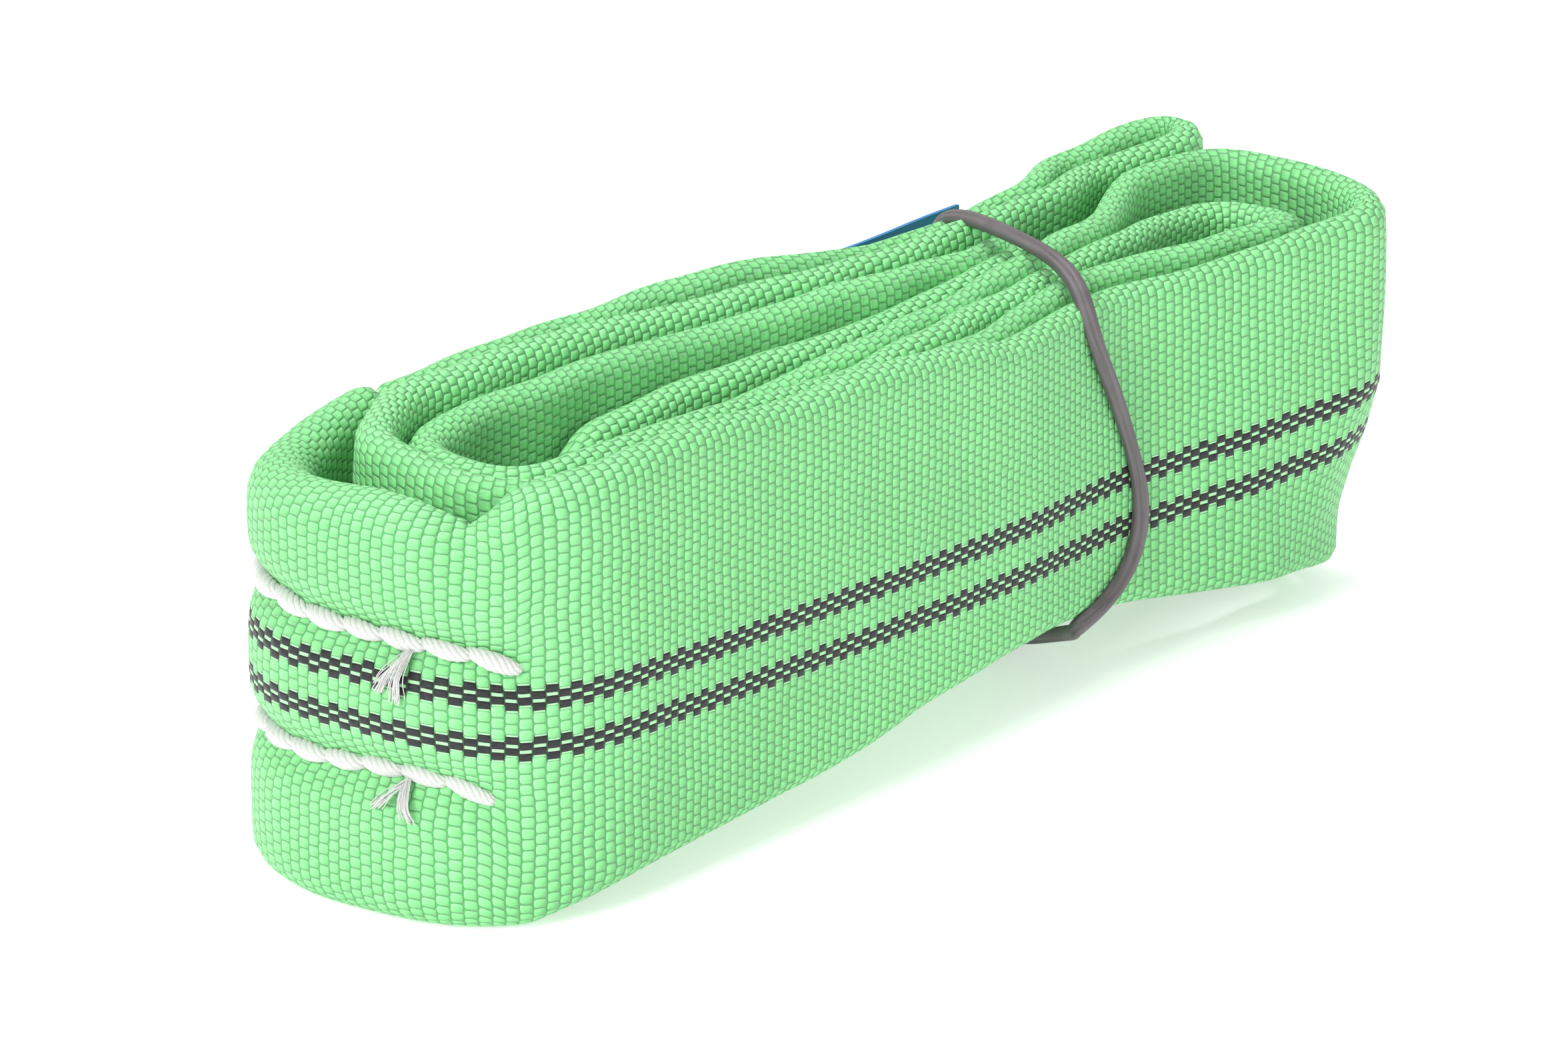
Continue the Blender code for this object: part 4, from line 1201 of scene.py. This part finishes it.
class SLING_OT_stitches(bpy.types.Operator):
    """Sews the joint's two rows: needle threads with frayed tails outside, locking threads inside"""
    bl_idname = "sling.stitches"
    bl_label = "Sew the joint"

    def execute(self, context):
        colour = tuple(context.scene.sling_stitches.colour)
        white = thread_material("needle_thread", colour)
        fine = thread_material("locking_thread", colour)
        for row, name in enumerate(("lower", "upper")):
            thread = strands(f"{name}_needle_stitches", "rope_strand", needle_paths(row), white,
                             Twist_Pitch=6.2 * MM, Step=0.2 * MM, Spread=0.66, Ply_Girth=0.4)
            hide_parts(f"{name}_needle_thread")
            tail = strands(f"{name}_frayed_tail", "fine_strand", tail_paths(row), white,
                           Step=0.6 * MM, Ply_Girth=1.0)
            lock = strands(f"{name}_locking_loops", "twisted_strand", lock_paths(row), fine,
                           Twist_Pitch=1.6 * MM, Step=0.3 * MM)
            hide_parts(f"{name}_locking_thread")
            for piece in (thread, tail, lock):
                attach(piece, "bundle")
        return {"FINISHED"}


class SLING_OT_band(bpy.types.Operator):
    """Stretches the rubber band round the waist"""
    bl_idname = "sling.band"
    bl_label = "Build rubber band"

    def execute(self, context):
        band = rubber_band()
        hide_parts("rubber_band")
        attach(band, "band")
        return {"FINISHED"}


class SLING_OT_label(bpy.types.Operator):
    """Sews the label on"""
    bl_idname = "sling.label"
    bl_label = "Build label"

    def execute(self, context):
        label, fold, along = label_sheet()
        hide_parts("label_hem", "label_flap")
        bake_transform(label)
        thread = thread_material("label_thread", tuple(context.scene.sling_stitches.colour))
        seam = strands("label_seam_stitches", "fine_strand", hem_stitches(), thread,
                       Step=0.3 * MM, Ply_Girth=1.0)
        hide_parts("label_seam_thread")
        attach(seam, "bundle")
        return {"FINISHED"}


class SLING_OT_stage(bpy.types.Operator):
    """Sets the floor, the lights and the camera"""
    bl_idname = "sling.stage"
    bl_label = "Set the stage"

    def execute(self, context):
        stage()
        return {"FINISHED"}


def stage():
    settings = bpy.context.scene.sling_stage
    mesh = bpy.data.meshes.new("floor")
    size = 3.0
    corners = [(-size, -size, 0), (size, -size, 0), (size, size, 0), (-size, size, 0)]
    mesh.from_pydata(corners, [], [(0, 1, 2, 3)])
    floor = bpy.data.objects.new("floor", mesh)
    floor.location.z = -0.2 * MM
    bpy.context.scene.collection.objects.link(floor)
    paint, n, shader, at = new_material("floor_paint", 0.9, 0.0, "Object")
    grain = n.noise(at, 40.0, 2.0)
    tone = n.ramp(grain, 0.3, 0.7, 0.985, 1.0)
    n.join(n.mix(1.0, (*tuple(settings.floor_colour), 1.0), n.vector(tone, tone, tone), "MULTIPLY"),
           shader.inputs["Base Color"])
    shader.inputs["Emission Color"].default_value = (1, 1, 1, 1)
    shader.inputs["Emission Strength"].default_value = settings.glow
    mesh.materials.append(paint)
    world = bpy.data.worlds.new("studio")
    bpy.context.scene.world = world
    world.use_nodes = True
    world.node_tree.nodes["Background"].inputs["Color"].default_value = (1, 1, 1, 1)
    world.node_tree.nodes["Background"].inputs["Strength"].default_value = settings.light
    for name, spot, power, area, aim in (
            ("key", (-1.0, -0.12, 0.65), 10.0, 0.4, (-0.02, 0, 0.03)),
            ("front", (0.0, -1.1, 0.4), 2.8, 0.6, (0, 0, 0.03)),
            ("top", (0.1, 0.35, 1.2), 12.5, 0.6, (0, 0, 0.03))):
        lamp = bpy.data.lights.new(name, "AREA")
        lamp.energy, lamp.size = power, area
        light = bpy.data.objects.new(name, lamp)
        light.location = spot
        light.rotation_euler = (Vector(aim) - Vector(spot)).to_track_quat("-Z", "Y").to_euler()
        bpy.context.scene.collection.objects.link(light)
    azimuth, elevation, distance = math.radians(-50), math.radians(20), 1.7
    back = Vector((math.sin(azimuth) * math.cos(elevation), -math.cos(azimuth) * math.cos(elevation),
                   math.sin(elevation)))
    camera = bpy.data.cameras.new("camera")
    camera.sensor_width = 36.0
    camera.lens = 281.02
    eye = bpy.data.objects.new("camera", camera)
    target = Vector((-1.148 * MM, 4.312 * MM, 27.5 * MM))
    eye.location = target + back * distance
    eye.rotation_euler = (-back).to_track_quat("-Z", "Y").to_euler()
    camera.clip_start, camera.clip_end = 0.05, 20.0
    bpy.context.scene.collection.objects.link(eye)
    bpy.context.scene.camera = eye
    bpy.context.scene.view_settings.view_transform = "Standard"


class SLING_PT_panel(bpy.types.Panel):
    """Settings and operators of the folded round sling"""
    bl_idname = "SLING_PT_panel"
    bl_label = "Folded Round Sling"
    bl_space_type = "VIEW_3D"
    bl_region_type = "UI"
    bl_category = "Sling"

    def draw(self, context):
        for name in GROUPS:
            settings = getattr(context.scene, name)
            box = self.layout.box()
            box.label(text=settings.bl_rna.description)
            for key in settings.bl_rna.properties.keys():
                if key not in ("rna_type", "name"):
                    box.prop(settings, key)
        for operator in STEPS:
            self.layout.operator(operator.bl_idname)


GROUPS = {
    "sling_sleeve": SlingSleeveSettings,
    "sling_stitches": SlingStitchSettings,
    "sling_band": SlingBandSettings,
    "sling_label": SlingLabelSettings,
    "sling_stage": SlingStageSettings,
}
STEPS = (SLING_OT_groups, SLING_OT_sleeve, SLING_OT_stitches, SLING_OT_band, SLING_OT_label, SLING_OT_stage)
CLASSES = (*GROUPS.values(), *STEPS, SLING_PT_panel)


def register():
    for item in CLASSES:
        bpy.utils.register_class(item)
    for name, group in GROUPS.items():
        setattr(bpy.types.Scene, name, PointerProperty(type=group))


def unregister():
    for name in GROUPS:
        delattr(bpy.types.Scene, name)
    for item in reversed(CLASSES):
        bpy.utils.unregister_class(item)


def main():
    register()
    for step in STEPS:
        area, name = step.bl_idname.split(".")
        getattr(getattr(bpy.ops, area), name)()


if __name__ == "__main__":
    main()
